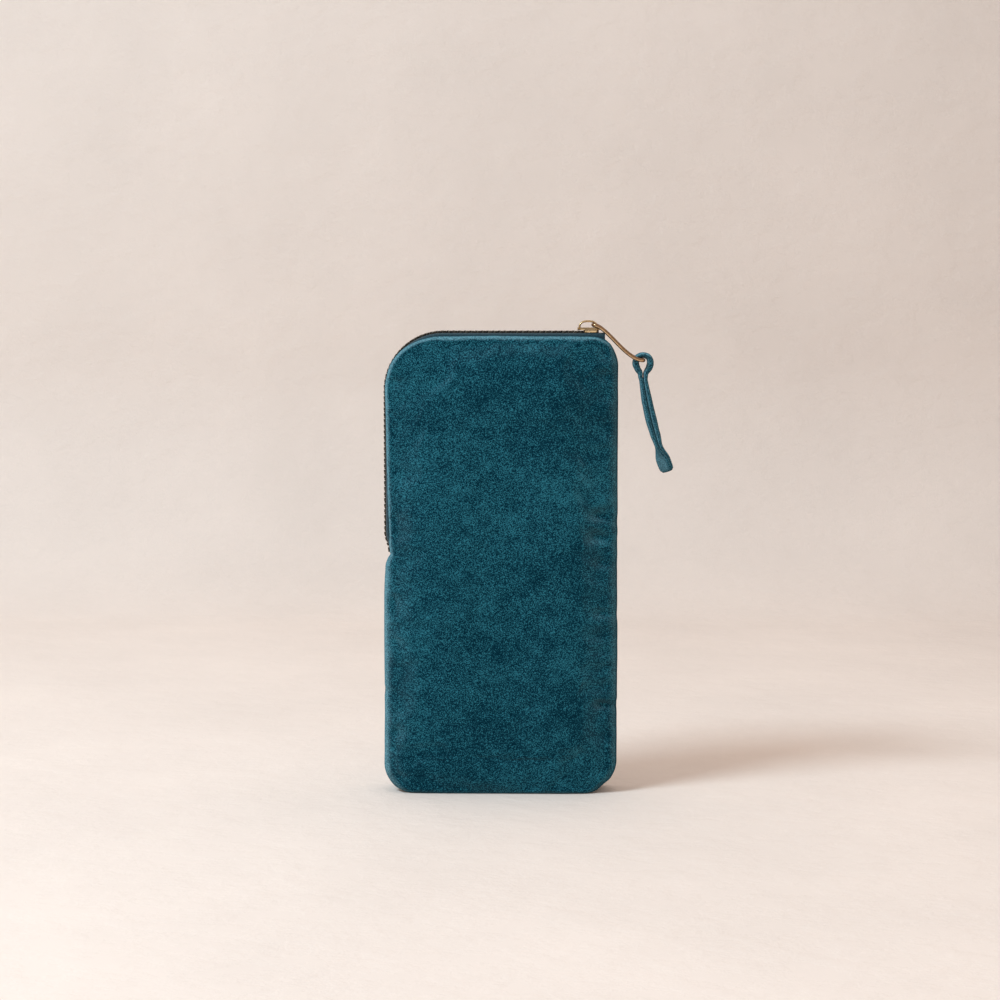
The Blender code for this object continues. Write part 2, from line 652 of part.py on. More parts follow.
def make_slider(finish_material, pivot):
    """Two plates joined by the diamond, with flanges that hold the chain and a crown for the pull wire."""
    parts = []

    def add_part(outline, low, high, axis):
        made = bmesh.new()
        add_prism(made, outline, low, high, axis)
        name = "zip_slider" if not parts else f"slider_part_{len(parts)}"
        parts.append(finish(made, name, finish_material, pivot))

    plates = plate_outline()
    add_part(plates, CHANNEL_TOP, PLATE_TOP, 2)
    add_part(plates, CHANNEL_BOTTOM - BOTTOM_PLATE, CHANNEL_BOTTOM, 2)
    sink = TOP_PLATE / 2
    diamond = [(DIAMOND_X, -CLEARANCE), (DIAMOND_X + DIAMOND_LENGTH, -DIAMOND_HALF_WIDTH),
               (DIAMOND_X + DIAMOND_LENGTH, DIAMOND_HALF_WIDTH), (DIAMOND_X, CLEARANCE)]
    add_part(diamond, CHANNEL_BOTTOM - BOTTOM_PLATE / 2, CHANNEL_TOP + sink, 2)
    flange_low = SLIDER_TAIL_X + 2 * SLIDER_CHAMFER
    tape_top = CASE_HEIGHT - TAPE_INSET + TAPE_THICKNESS / 2 + CLEARANCE
    tape_bottom = CASE_HEIGHT - TAPE_INSET - TAPE_THICKNESS / 2 - CLEARANCE
    for way in (-1, 1):
        inner, outer = way * (SLIDER_HALF_WIDTH - FLANGE_WIDTH), way * SLIDER_HALF_WIDTH
        flange = [(flange_low, inner), (flange_low, outer),
                  (flange_low + FLANGE_LENGTH - SLIDER_CHAMFER, outer),
                  (flange_low + FLANGE_LENGTH - SLIDER_CHAMFER, inner)]
        add_part(flange, tape_top, CHANNEL_TOP + sink, 2)
        add_part(flange, CHANNEL_BOTTOM - BOTTOM_PLATE / 2, tape_bottom, 2)
    add_part(crown_profile(), -CROWN_HALF_WIDTH, CROWN_HALF_WIDTH, 1)
    for part in parts[1:]:
        join(parts[0], part)


def pull_points():
    """The wire's centre line: the near bar, one side out, the far bar and the other side back."""
    def side_point(share, y):
        drop = PULL_DROP * smooth(share ** PULL_EARLY_SHARE)
        return Vector((WIRE_X + PULL_REACH * share, y, WIRE_Z - drop))

    straight = WIRE_HALF_WIDTH - WIRE_BEND_RADIUS
    bend_share = WIRE_BEND_RADIUS / PULL_REACH
    half = [side_point(0, -straight / 2), side_point(0, 0), side_point(0, straight / 2)]
    for step in range(WIRE_BEND_STEPS + 1):
        turn = step / WIRE_BEND_STEPS * math.pi / 2
        half.append(side_point(bend_share * (1 - math.cos(turn)), straight + WIRE_BEND_RADIUS * math.sin(turn)))
    for step in range(1, WIRE_SIDE_STEPS):
        share = mix(bend_share, 1 - bend_share, step / WIRE_SIDE_STEPS)
        half.append(side_point(share, WIRE_HALF_WIDTH))
    for step in range(WIRE_BEND_STEPS, -1, -1):
        turn = step / WIRE_BEND_STEPS * math.pi / 2
        half.append(side_point(1 - bend_share * (1 - math.cos(turn)), straight + WIRE_BEND_RADIUS * math.sin(turn)))
    far = [side_point(1, straight / 2), side_point(1, 0), side_point(1, -straight / 2)]
    back = [Vector((point.x, -point.y, point.z)) for point in reversed(half[3:])]
    return half + far + back


def make_pull_wire(finish_material, pivot):
    curve = bpy.data.curves.new("pull_wire", "CURVE")
    curve.dimensions = "3D"
    curve.bevel_depth = WIRE_DIAMETER / 2
    curve.bevel_resolution = 2
    points = pull_points()
    spline = curve.splines.new("POLY")
    spline.points.add(len(points) - 1)
    spline.use_cyclic_u = True
    spline.use_smooth = True
    for target, point in zip(spline.points, points):
        target.co = (*(point - pivot.matrix_world.translation), 1)
    curve.materials.append(finish_material)
    made = bpy.data.objects.new("pull_wire", curve)
    bpy.context.scene.collection.objects.link(made)
    made.parent = pivot


# The strap's loop in shares of its radius, from the neck up one side to the top, and its place on the far bar
LOOP_SHARES = ((0.33, -1.7), (0.38, -1.2), (0.78, -0.68), (1.0, 0.0), (0.74, 0.70), (0.0, 1.0))
# Thickness of a layer in shares of the ribbon's, at shares of the way from the neck to the tip
LAYER_SHARES = ((0, 0.86), (0.3, 1.10), (0.45, 1.16), (0.6, 1.05), (0.73, 0.78), (0.9, 0.84), (1, 0.6))
BAR_X = WIRE_X + PULL_REACH
BAR_Z = WIRE_Z - PULL_DROP
LOOP_Z = BAR_Z + WIRE_DIAMETER / 2 + CLEARANCE - (LOOP_RADIUS - RIBBON_THICKNESS / 2)


def strap_middle(share):
    """The line between the strap's two layers, from the loop's neck down to the tip."""
    lean = STRAP_LEAN_START_SHARE * share + (1 - STRAP_LEAN_START_SHARE) * share * share
    neck = LOOP_Z + LOOP_SHARES[0][1] * LOOP_RADIUS
    return Vector((BAR_X + STRAP_LEAN * lean, 0, neck - STRAP_HANG * share))


def layer_thickness(share):
    """Thickness of one layer: full in the middle, pressed thin at the neck and above the tip."""
    for (start, first), (end, last) in zip(LAYER_SHARES, LAYER_SHARES[1:]):
        if share <= end:
            return RIBBON_THICKNESS * mix(first, last, smooth((share - start) / (end - start)))
    return RIBBON_THICKNESS * LAYER_SHARES[-1][1]


def ribbon_ring(point, across, thickness, twist=0.0, offset=0.0, width_share=1.0):
    """The ribbon's cross-section, turned round its length and set off from the line between the layers."""
    wide = Vector((0, 1, 0))
    turned_across = across * math.cos(twist) + wide * math.sin(twist)
    turned_wide = wide * math.cos(twist) - across * math.sin(twist)
    centre = point + turned_across * offset
    thick = turned_across * thickness / 2
    width = turned_wide * RIBBON_WIDTH / 2 * width_share
    return [centre - thick - width, centre + thick - width, centre + thick + width, centre - thick + width]


def layer_rings(way):
    """One hanging layer, from the tip up to the neck; way is 1 for the far layer and -1 for the near one."""
    rings = []
    for step in range(STRAP_STEPS, 0, -1):
        share = step / STRAP_STEPS
        fall = (strap_middle(share) - strap_middle(share - 1 / STRAP_STEPS)).normalized()
        across = Vector((-fall.z, 0, fall.x))
        twist = STRAP_TWIST * smooth((share - STRAP_TWIST_START_SHARE)
                                     / (STRAP_TWIST_END_SHARE - STRAP_TWIST_START_SHARE))
        tip = max(share - TIP_START_SHARE, 0) / (1 - TIP_START_SHARE)
        width_share = mix(TIP_LEAST_SHARE, 1, math.sqrt(1 - tip * tip))
        thickness = layer_thickness(share)
        offset = way * (thickness + CLEARANCE) / 2
        rings.append(ribbon_ring(strap_middle(share), across, thickness, twist, offset, width_share))
    return rings


def strap_rings():
    """Cross-sections of the ribbon: up the far layer, round the loop and down the near layer."""
    loop_half = [Vector((BAR_X + x * LOOP_RADIUS, 0, LOOP_Z + z * LOOP_RADIUS)) for x, z in LOOP_SHARES]
    loop = loop_half + [Vector((2 * BAR_X - point.x, 0, point.z)) for point in reversed(loop_half[:-1])]
    neck = strap_middle(1 / STRAP_STEPS)
    layer = Vector((loop_half[0].x - BAR_X, 0, 0))
    chain = [neck + layer] + loop + [neck - layer]
    top = len(loop_half)
    middle_rings = []
    for index in range(1, len(chain) - 1):
        way = (chain[index + 1] - chain[index - 1]).normalized()
        full = smooth(1 - abs(index - top) / top)
        thickness = RIBBON_THICKNESS * mix(LAYER_SHARES[0][1], 1, full)
        middle_rings.append(ribbon_ring(chain[index], Vector((way.z, 0, -way.x)), thickness))
    left = [[corners[1], corners[0], corners[3], corners[2]] for corners in reversed(layer_rings(-1))]
    return layer_rings(1) + middle_rings + left


def make_pull_strap(finish_material, pivot):
    made = bmesh.new()
    add_loft(made, strap_rings())
    finish(made, "pull_strap", finish_material, pivot)


def build():
    for item in list(bpy.data.objects):
        bpy.data.objects.remove(item, do_unlink=True)
    velvet = material("velvet", (0.008, 0.060, 0.090), 0.85)
    wadding = material("wadding", (0.80, 0.79, 0.75), 0.95)
    lining = material("lining_cloth", (0.015, 0.050, 0.070), 0.8)
    tape = material("zip_tape", (0.010, 0.045, 0.060), 0.85)
    brass = material("brass", (0.62, 0.46, 0.22), 0.35, 1)
    gold = material("gold_plated_zinc", (0.80, 0.65, 0.38), 0.28, 1)
    ribbon = material("velvet_ribbon", (0.008, 0.060, 0.090), 0.85)

    fold_middle = (FOLD_START + FOLD_END) / 2
    flap = pivot_at("flap_pivot", Vector((fold_middle.x, -FOLD_PIVOT_DEPTH, fold_middle.z)))
    slider = pivot_at("slider_pivot", Vector((SLIDER_TAIL_X, 0, CASE_HEIGHT)))
    make_leaves(velvet, wadding, lining, flap)

    make_stringer("front_zip_stringer", -1, tape, brass, 0, flap)
    make_stringer("back_zip_stringer", 1, tape, brass, 1 / 2)
    make_top_stop("front_top_stop", -1, brass)
    make_top_stop("back_top_stop", 1, brass)
    make_bottom_stop(brass)

    make_slider(gold, slider)
    wire = pivot_at("pull_pivot", Vector((WIRE_X, 0, WIRE_Z)), slider)
    bpy.context.view_layer.update()
    make_pull_wire(gold, wire)
    strap = pivot_at("strap_pivot", Vector((BAR_X, 0, BAR_Z)))
    make_pull_strap(ribbon, strap)
    wire_place = wire.matrix_world.translation.copy()
    strap.parent = wire
    strap.location = strap.location - wire_place


build()
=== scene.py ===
"""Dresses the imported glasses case: velvet leaves, zip, slider, wire pull and velvet strap, on a pale stage.

The file is laid out as a Blender add-on. Lengths are in metres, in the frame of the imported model: the front
is -Y, up is +Z, and the origin is on the floor under the middle of the case.
"""

import json
import math

import bmesh
import bpy
import numpy as np
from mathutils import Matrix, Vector, noise

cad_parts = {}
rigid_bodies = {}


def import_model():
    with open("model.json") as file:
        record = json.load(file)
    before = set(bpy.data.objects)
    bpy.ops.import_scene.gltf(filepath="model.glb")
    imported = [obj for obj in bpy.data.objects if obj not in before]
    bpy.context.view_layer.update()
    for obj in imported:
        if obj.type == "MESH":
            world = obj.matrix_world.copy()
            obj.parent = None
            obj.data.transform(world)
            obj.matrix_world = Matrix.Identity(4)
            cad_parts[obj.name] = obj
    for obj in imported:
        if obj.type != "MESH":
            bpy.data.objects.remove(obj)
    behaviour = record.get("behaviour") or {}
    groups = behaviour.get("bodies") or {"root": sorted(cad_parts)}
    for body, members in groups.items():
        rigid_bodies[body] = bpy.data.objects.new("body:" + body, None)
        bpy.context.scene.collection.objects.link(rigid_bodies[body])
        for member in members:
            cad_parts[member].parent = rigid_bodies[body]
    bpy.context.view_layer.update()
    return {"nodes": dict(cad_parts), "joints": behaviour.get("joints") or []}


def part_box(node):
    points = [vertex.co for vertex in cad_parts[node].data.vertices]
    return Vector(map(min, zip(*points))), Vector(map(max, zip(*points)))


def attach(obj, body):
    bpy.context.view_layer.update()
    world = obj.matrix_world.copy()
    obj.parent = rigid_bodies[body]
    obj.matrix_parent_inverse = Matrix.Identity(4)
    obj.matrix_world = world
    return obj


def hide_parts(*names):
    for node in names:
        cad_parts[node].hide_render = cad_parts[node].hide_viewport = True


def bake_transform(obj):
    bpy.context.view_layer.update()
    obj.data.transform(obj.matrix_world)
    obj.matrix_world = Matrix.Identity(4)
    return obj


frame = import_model()

bl_info = {
    "name": "Velvet Glasses Case",
    "version": (1, 0, 0),
    "blender": (4, 5, 0),
    "location": "View3D > Sidebar > Glasses Case",
    "description": "Soft glasses case with a metal zip round one corner, a wire pull and a velvet strap",
    "category": "Add Mesh",
}

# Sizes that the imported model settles
HALF_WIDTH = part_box("back_panel")[1].x
HALF_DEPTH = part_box("back_panel")[1].y
CASE_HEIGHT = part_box("back_zip_stringer")[1].z
SLIDER_LOW, SLIDER_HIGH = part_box("zip_slider")
TAPE_END_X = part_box("back_zip_stringer")[1].x
JOINTS = {joint["name"]: joint for joint in frame["joints"]}
WIRE_START = Vector(JOINTS["pull_swing"]["pos_m"])
WIRE_END = Vector(JOINTS["strap_swing"]["pos_m"])

# How the layers of a leaf are cut and laid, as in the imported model
CLEARANCE = 0.0003
LEAST_RADIUS = 0.004
CROWN_REACH = 0.030
WADDING_OFFSET = 0.0015
LINING_OFFSET = 0.0044
ZIP_INSET = 0.0029
COVERED_ARC_SHARE = 0.6
NOTCH_HEIGHT = 0.0990
NOTCH_BLEND = 0.0045
CHAIN_DIP = 0.0018
CHAIN_DIP_LENGTH = 0.0080
END_ANGLE = math.radians(50)
END_BLEND_ANGLE = math.radians(30)
BASE_ARC_SHARE = 0.55
# Side and height of each corner, and the quarter turn at which its arc starts
CORNERS = ((1, -1, 3), (1, 1, 0), (-1, 1, 1), (-1, -1, 2))

# The layers' edges in each zone of the outline: the sewn seam, the bare zip, the covered zip and the base
HALF_GAP = CLEARANCE / 2
EDGE_RADII = (0.0045, 0.0026, 0.0026, 0.0016)
PILE_INSETS = (0, 0.0022, 0.0009, 0)
NOTCH_PILE_INSETS = (0, 0.0025, 0.0009, 0)
RIM_DEPTHS = (HALF_GAP, 0.0048, 0.0048, HALF_GAP)
ROLL_INSETS = (0.0012, 0.0008, 0.0017, 0.0005)
ROLL_DEPTHS = (0.0022, 0.0012, 0.0012, 0.0014)
LINING_INSETS = (WADDING_OFFSET + 0.0005, 0.0056, 0.0056, WADDING_OFFSET)
LINING_RIM_DEPTHS = (HALF_GAP, 0.0028, 0.0028, HALF_GAP)
LINING_RADII = (0.0015, 0.0012, 0.0012, 0.0015)
LINING_ROLLS = (0.0007, 0, 0, 0)
LINING_HEM_DEPTH = 0.0041

# The tape's cross-section and the teeth on its edge
TAPE_THICKNESS = 0.0006
TAPE_INSET = 0.0012
TAPE_EDGE_DEPTH = 0.0013
TAPE_TURN_DEPTH = 0.0033
TAPE_SIDE_DEPTH = 0.0045
TAPE_HEM_INSET = 0.0046
TAPE_SPREAD_DEPTH = 0.0024
TAPE_SPREAD_LENGTH = 0.0016
TOOTH_HEIGHT = 0.0022
STOP_LENGTH = 0.0020
DIAMOND_BACK = 0.0044
LAST_TOOTH_BACK = 0.00095
PATH_STEPS = 240


def smooth(share):
    """Ease from 0 to 1, level at both ends."""
    share = min(max(share, 0), 1)
    return share * share * (3 - 2 * share)


def mix(first, last, share):
    return first + (last - first) * share


def linear(hex_colour):
    """A scene-linear colour from an sRGB hex value."""
    channels = [int(hex_colour[index:index + 2], 16) / 255 for index in (1, 3, 5)]
    return [value / 12.92 if value <= 0.04045 else ((value + 0.055) / 1.055) ** 2.4 for value in channels]


def a_length(name, description, metres):
    return bpy.props.FloatProperty(
        name=name, description=description, default=metres, unit="LENGTH", precision=4)


def a_colour(name, description, hex_colour):
    return bpy.props.FloatVectorProperty(
        name=name, description=description, subtype="COLOR", size=3, min=0, max=1, default=linear(hex_colour))


class CaseSizes(bpy.types.PropertyGroup):
    """Sizes of the case that a maker would change"""
    sliding_radius: a_length("Zip corner", "Radius of the top left corner, which the slider passes", 0.0245)
    end_radius: a_length("End corner", "Radius of the top right corner, where the zip ends", 0.0115)
    left_base_radius: a_length("Left base corner", "Radius of the lower left corner", 0.0115)
    right_base_radius: a_length("Right base corner", "Radius of the lower right corner", 0.0135)
    velvet_thickness: a_length("Velvet", "Thickness of the velvet with its backing", 0.0012)
    wadding_thickness: a_length("Wadding", "Thickness of the padding sheet", 0.0026)
    lining_thickness: a_length("Lining", "Thickness of the lining cloth", 0.0006)
    side_drop: a_length("Fall to the sides", "How much thinner a leaf is at its long sides", 0.0034)
    top_drop: a_length("Fall to the top", "How much thinner a leaf is at its top", 0.0028)
    base_drop: a_length("Fall to the base", "How much thinner a leaf is at its base", 0.0009)
    puff: a_length("Puff", "Most that the velvet may rise over its pattern when it is filled", 0.0007)
    tooth_pitch: a_length("Tooth pitch", "Distance between the teeth of one row", 0.0023)
    stitch_pitch: a_length("Stitch pitch", "Distance between the stitches along the tape", 0.0024)
    wire_diameter: a_length("Wire", "Diameter of the pull wire", 0.0016)
    ribbon_width: a_length("Ribbon width", "Width of the velvet strap", 0.0070)
    ribbon_thickness: a_length("Ribbon thickness", "Thickness of one layer of the strap", 0.0021)


class CaseColours(bpy.types.PropertyGroup):
    """Colours of the case's materials"""
    velvet_dark: a_colour("Velvet, nap away", "Where the pile leans towards the eye", "#002A3A")
    velvet_light: a_colour("Velvet, nap up", "Where the pile leans away and shows its sides", "#2E7688")
    # Painted highlight on the velvet's rolled edges, where the pile catches the light
    velvet_rim_highlight: a_colour("Velvet, open pile", "Where a fold opens the pile", "#70A1B0")
    # Painted shade on the seams and on pile that faces down
    velvet_painted_shade: a_colour("Velvet in a seam", "Where two edges meet and shade each other", "#1B323A")
    velvet_sheen: a_colour("Velvet sheen", "Tips of the pile seen along the surface", "#3C9DB4")
    tape: a_colour("Zip tape", "Woven polyester tape", "#234B5A")
    thread: a_colour("Thread", "Sewing thread", "#2D5D68")
    lining: a_colour("Lining", "Plain woven cotton", "#274F57")
    wadding: a_colour("Wadding", "Needled polyester wadding", "#E9E5DC")
    teeth: a_colour("Teeth", "Antique brass", "#5C564C")
    slider: a_colour("Slider", "Pale gold plating", "#F6DCAE")
    wire: a_colour("Pull wire", "Bronze gold wire", "#D8B48C")
    plaster: a_colour("Plaster", "Limewashed floor and backdrop", "#F5E8DF")


def add_node(tree, kind, inputs=None, output=0, **settings):
    """Add a node, of a shader unless its kind says otherwise, and return one output, or all of them for None.

    An input is a value or a socket to link from.
    """
    made = tree.nodes.new(kind if "Node" in kind else "ShaderNode" + kind)
    for name, value in settings.items():
        setattr(made, name, value)
    for key, value in (inputs or {}).items():
        if isinstance(value, bpy.types.NodeSocket):
            tree.links.new(value, made.inputs[key])
        else:
            made.inputs[key].default_value = value
    return made.outputs[output] if output is not None and made.outputs else made.outputs


def new_material(name):
    """A material with an empty tree; returns it, its tree and its texture coordinates."""
    made = bpy.data.materials.new(name)
    made.use_nodes = True
    made.node_tree.nodes.clear()
    return made, made.node_tree, add_node(made.node_tree, "TexCoord", output=None)


def shaded(made, height, distance, strength, **sockets):
    """End a material with a bump and a Principled shader whose sockets are set or linked by name."""
    tree = made.node_tree
    inputs = {key.replace("_", " "): value for key, value in sockets.items()}
    inputs["Normal"] = add_node(tree, "Bump", {"Height": height, "Distance": distance, "Strength": strength})
    add_node(tree, "OutputMaterial", {"Surface": add_node(tree, "BsdfPrincipled", inputs)})
    return made


def speckle(tree, coordinates, grain, detail=2.0, roughness=0.5, stretch=(1, 1, 1), turn=(0, 0, 0)):
    """Noise whose grains are about as wide as the given length."""
    place = add_node(tree, "Mapping", {"Vector": coordinates, "Scale": stretch, "Rotation": turn})
    return add_node(tree, "TexNoise", {
        "Vector": place, "Scale": 1 / grain, "Detail": detail, "Roughness": roughness}, "Fac")


def tinted(tree, value, low, high, first, last, most=1.0):
    """A colour that goes from the first to the last as a value rises between two levels."""
    share = add_node(tree, "MapRange", {"Value": value, "From Min": low, "From Max": high, "To Max": most})
    ends = [end if isinstance(end, bpy.types.NodeSocket) else (*end, 1) for end in (first, last)]
    return add_node(tree, "Mix", {0: share, 6: ends[0], 7: ends[1]}, 2, data_type="RGBA")


# Width of the pile's clumps, and the side turned from the lamp, which gets painted shade and the least painted
# highlight
PILE_CLUMP = 0.00042
RIGHT_AND_DOWN = (0.8, 0, -0.6)


def velvet_material(name, colours, patch=0.022, edges=0.6, face_highlight=0.0):
    """Cotton velvet, cut pile: a dark face, mottled where the pile leans, with a painted highlight on its
    rolled edges and painted shade on its seams and on pile that faces down.
    """
    made, tree, given = new_material(name)
    leaning = speckle(tree, given["Object"], patch, 1.5, 0.5, (0.6, 1, 1))
    smears = speckle(tree, given["Object"], patch / 5, 2.5, 0.6, (0.7, 1, 1))
    # Real pile is finer than a pixel, so the grain is as wide as the clumps that show, turned off the axes
    grain = speckle(tree, given["Object"], PILE_CLUMP, 0.0, turn=(0.4, 0.6, 0.2))
    parts = add_node(tree, "CombineXYZ", {"X": leaning, "Y": smears, "Z": grain})
    total = add_node(tree, "VectorMath", {0: parts, 1: (0.95, 1.15, 3.6)}, "Value", operation="DOT_PRODUCT")
    face = tinted(tree, total, 2.57, 3.77, colours.velvet_dark, colours.velvet_light)
    facing = add_node(tree, "SeparateXYZ", {"Vector": given["Normal"]}, None)
    square = add_node(tree, "Math", {0: facing["Y"], 1: facing["Y"]}, operation="MULTIPLY")
    # Painted highlight where the cloth rolls away from the face, least at the right and the base, which are
    # turned from the lamp
    rolled = add_node(tree, "MapRange", {
        "Value": square, "From Min": 0.99, "From Max": 0.50, "To Min": face_highlight})
    painted_rim_light = add_node(tree, "Math", {0: rolled, 1: 1.3}, operation="POWER")
    away = add_node(tree, "VectorMath", {
        0: given["Normal"], 1: RIGHT_AND_DOWN}, "Value", operation="DOT_PRODUCT")
    near = add_node(tree, "MapRange", {"Value": away, "From Min": 0.9, "From Max": 0.0, "To Max": edges})
    uneven = add_node(tree, "MapRange", {
        "Value": grain, "From Min": 0.3, "From Max": 0.7, "To Min": 0.5, "To Max": 1.4})
    # On the flat sides the painted highlight fades again
    rim = add_node(tree, "MapRange", {"Value": square, "From Max": 0.15, "To Min": 0.3})
    for share in (near, rim, uneven):
        painted_rim_light = add_node(tree, "Math", {0: painted_rim_light, 1: share}, operation="MULTIPLY")
    lit = add_node(tree, "Mix", {0: painted_rim_light, 6: face, 7: (*colours.velvet_rim_highlight, 1)}, 2, data_type="RGBA")
    # Painted shade on the seam at the right and the base, and on pile that faces down
    turned = add_node(tree, "MapRange", {"Value": square, "From Min": 0.32, "From Max": 0.12, "To Max": 0.75})
    outer = add_node(tree, "MapRange", {"Value": away, "From Min": 0.25, "From Max": 0.6})
    seam = add_node(tree, "Math", {0: turned, 1: outer}, operation="MULTIPLY")
    down = add_node(tree, "MapRange", {
        "Value": facing["Z"], "From Min": -0.10, "From Max": -0.50, "To Max": 0.5})
    shade = add_node(tree, "Math", {0: seam, 1: down}, operation="MAXIMUM")
    colour = add_node(tree, "Mix", {0: shade, 6: lit, 7: (*colours.velvet_painted_shade, 1)}, 2, data_type="RGBA")
    return shaded(made, grain, 0.0003, 0.4, Base_Color=colour, Roughness=0.95, Specular_IOR_Level=0.05,
                  Sheen_Weight=0.25, Sheen_Roughness=0.35, Sheen_Tint=(*colours.velvet_sheen, 1))


# The scale at which a wave texture's bands are one unit wide
WAVES_PER_BAND = 0.314


def woven_material(name, colour, thread_width, contrast=0.35, roughness=0.8, use_uv=False):
    """Plain weave: threads crossing over and under, which shows as a fine check."""
    made, tree, given = new_material(name)
    place = given["UV" if use_uv else "Object"]
    across, along = (add_node(tree, "TexWave", {
        "Vector": place, "Scale": WAVES_PER_BAND / thread_width, "Distortion": 0.6, "Detail": 1.0,
        "Detail Scale": 2.0}, "Fac", bands_direction=axis, wave_profile="SIN")
        for axis in ("X", "Y" if use_uv else "Z"))
    weave = add_node(tree, "Math", {0: across, 1: along}, operation="MULTIPLY")
    dark = [value * (1 - contrast) for value in colour]
    thread = tinted(tree, weave, 0.05, 0.6, dark, colour)
    finish = tinted(tree, speckle(tree, place, thread_width * 6), 0.3, 0.7, thread, dark, 0.4)
    return shaded(made, weave, 0.0002, 0.6, Base_Color=finish, Roughness=roughness, Specular_IOR_Level=0.3,
                  Sheen_Weight=0.15)


def wadding_material(name, colour):
    """Needled polyester wadding: matt white fibres in loose tufts."""
    made, tree, given = new_material(name)
    tufts = speckle(tree, given["Object"], 0.004, 4.0, 0.65)
    finish = tinted(tree, tufts, 0.3, 0.65, [value * 0.72 for value in colour], colour)
    return shaded(made, tufts, 0.0012, 0.7, Base_Color=finish, Roughness=0.95, Sheen_Weight=0.3,
                  Subsurface_Weight=0.1, Subsurface_Scale=0.001)


def metal_material(name, colour, roughness, tarnish, grain, rims=0.0, flanks=0.0):
    """A plated or bare metal: bright where rubbed, dull with tarnish, and with painted dark reflections at its
    rims and flanks.
    """
    made, tree, given = new_material(name)
    stains = speckle(tree, given["Object"], grain * 3, 3.0, 0.6)
    face = tinted(tree, stains, 0.35, 0.65, colour, [value * (1 - tarnish) for value in colour])
    # Painted dark reflections: rims turned away from the front, and flanks that face left or right
    facing = add_node(tree, "SeparateXYZ", {"Vector": given["Normal"]}, None)
    square = add_node(tree, "Math", {0: facing["Y"], 1: facing["Y"]}, operation="MULTIPLY")
    rim = add_node(tree, "MapRange", {"Value": square, "From Min": 0.85, "From Max": 0.35, "To Max": rims})
    sideways = add_node(tree, "Math", {0: facing["X"]}, operation="ABSOLUTE")
    flank = add_node(tree, "MapRange", {
        "Value": sideways, "From Min": 0.25, "From Max": 0.70, "To Max": flanks})
    share = add_node(tree, "Math", {0: rim, 1: flank}, operation="MAXIMUM")
    dark = [value * value * 0.35 for value in colour]
    finish = add_node(tree, "Mix", {0: share, 6: face, 7: (*dark, 1)}, 2, data_type="RGBA")
    polish = add_node(tree, "MapRange", {
        "Value": stains, "From Min": 0.3, "From Max": 0.7, "To Min": roughness * 0.8,
        "To Max": min(roughness * 1.6, 0.9)})
    return shaded(made, speckle(tree, given["Object"], grain), 0.00003, 0.4, Base_Color=finish, Metallic=1.0,
                  Roughness=polish)


def plaster_material(name, colour, pit_depth):
    """Limewashed plaster: near white, with soft clouds, trowel marks and small pits."""
    made, tree, given = new_material(name)
    clouds = speckle(tree, given["Object"], 0.12, 4.0, 0.55)
    trowel = speckle(tree, given["Object"], 0.022, 5.0, 0.62, (1, 1.3, 1.3))
    finish = tinted(tree, clouds, 0.3, 0.7, [value * 0.93 for value in colour], colour)
    pits = add_node(tree, "MapRange", {"Value": trowel, "From Min": 0.42, "From Max": 0.6})
    return shaded(made, pits, pit_depth, 0.3, Base_Color=finish, Roughness=0.85, Specular_IOR_Level=0.2)


def once(name, maker, *details):
    """A material made the first time that it is asked for."""
    return bpy.data.materials.get(name) or maker(name, *details)


def plain_mesh(name, points, faces=(), edges=()):
    mesh = bpy.data.meshes.new(name)
    mesh.from_pydata([tuple(point) for point in points], edges, faces)
    return mesh


def linked(name, data):
    """Put an object of the given data into the scene."""
    placed = bpy.data.objects.new(name, data)
    bpy.context.scene.collection.objects.link(placed)
    return placed


def smoothed(placed, shade_angle):
    """Shade an object smooth, with its edges over an angle in degrees left sharp."""
    placed.data.shade_smooth()
    placed.data.set_sharp_from_angle(angle=math.radians(shade_angle))
    return placed


def mesh_object(name, points, faces, finish):
    """Link a mesh as a named object with one material and its faces turned outwards."""
    mesh = plain_mesh(name, points, faces)
    made = bmesh.new()
    made.from_mesh(mesh)
    bmesh.ops.remove_doubles(made, verts=made.verts, dist=1e-7)
    bmesh.ops.recalc_face_normals(made, faces=made.faces)
    made.to_mesh(mesh)
    made.free()
    mesh.materials.append(finish)
    mesh.shade_smooth()
    return linked(name, mesh)


def quarter(steps, first=0):
    """Angles from a share of a quarter turn, given in steps, to the whole of it."""
    return [step / steps * math.pi / 2 for step in range(first, steps + 1)]


def squarish(value, power):
    """A sine or cosine raised to a power with its sign kept, which makes a round section squarer."""
    return math.copysign(abs(value) ** power, value)


def loft_faces(ring_size, rings, closed_ends=True):
    """Quads between rings of equal count, and the two end caps."""
    faces = []
    for ring in range(rings - 1):
        for index in range(ring_size):
            after = (index + 1) % ring_size
            low, high = ring * ring_size, (ring + 1) * ring_size
            faces.append((low + index, low + after, high + after, high + index))
    if closed_ends:
        faces.append(tuple(reversed(range(ring_size))))
        faces.append(tuple(range((rings - 1) * ring_size, rings * ring_size)))
    return faces


def flattened(placed):
    """Apply an object's modifiers to its mesh."""
    bpy.context.view_layer.update()
    evaluated = placed.evaluated_get(bpy.context.evaluated_depsgraph_get())
    mesh = bpy.data.meshes.new_from_object(evaluated)
    mesh.name = placed.name
    placed.modifiers.clear()
    placed.data = mesh
    return placed


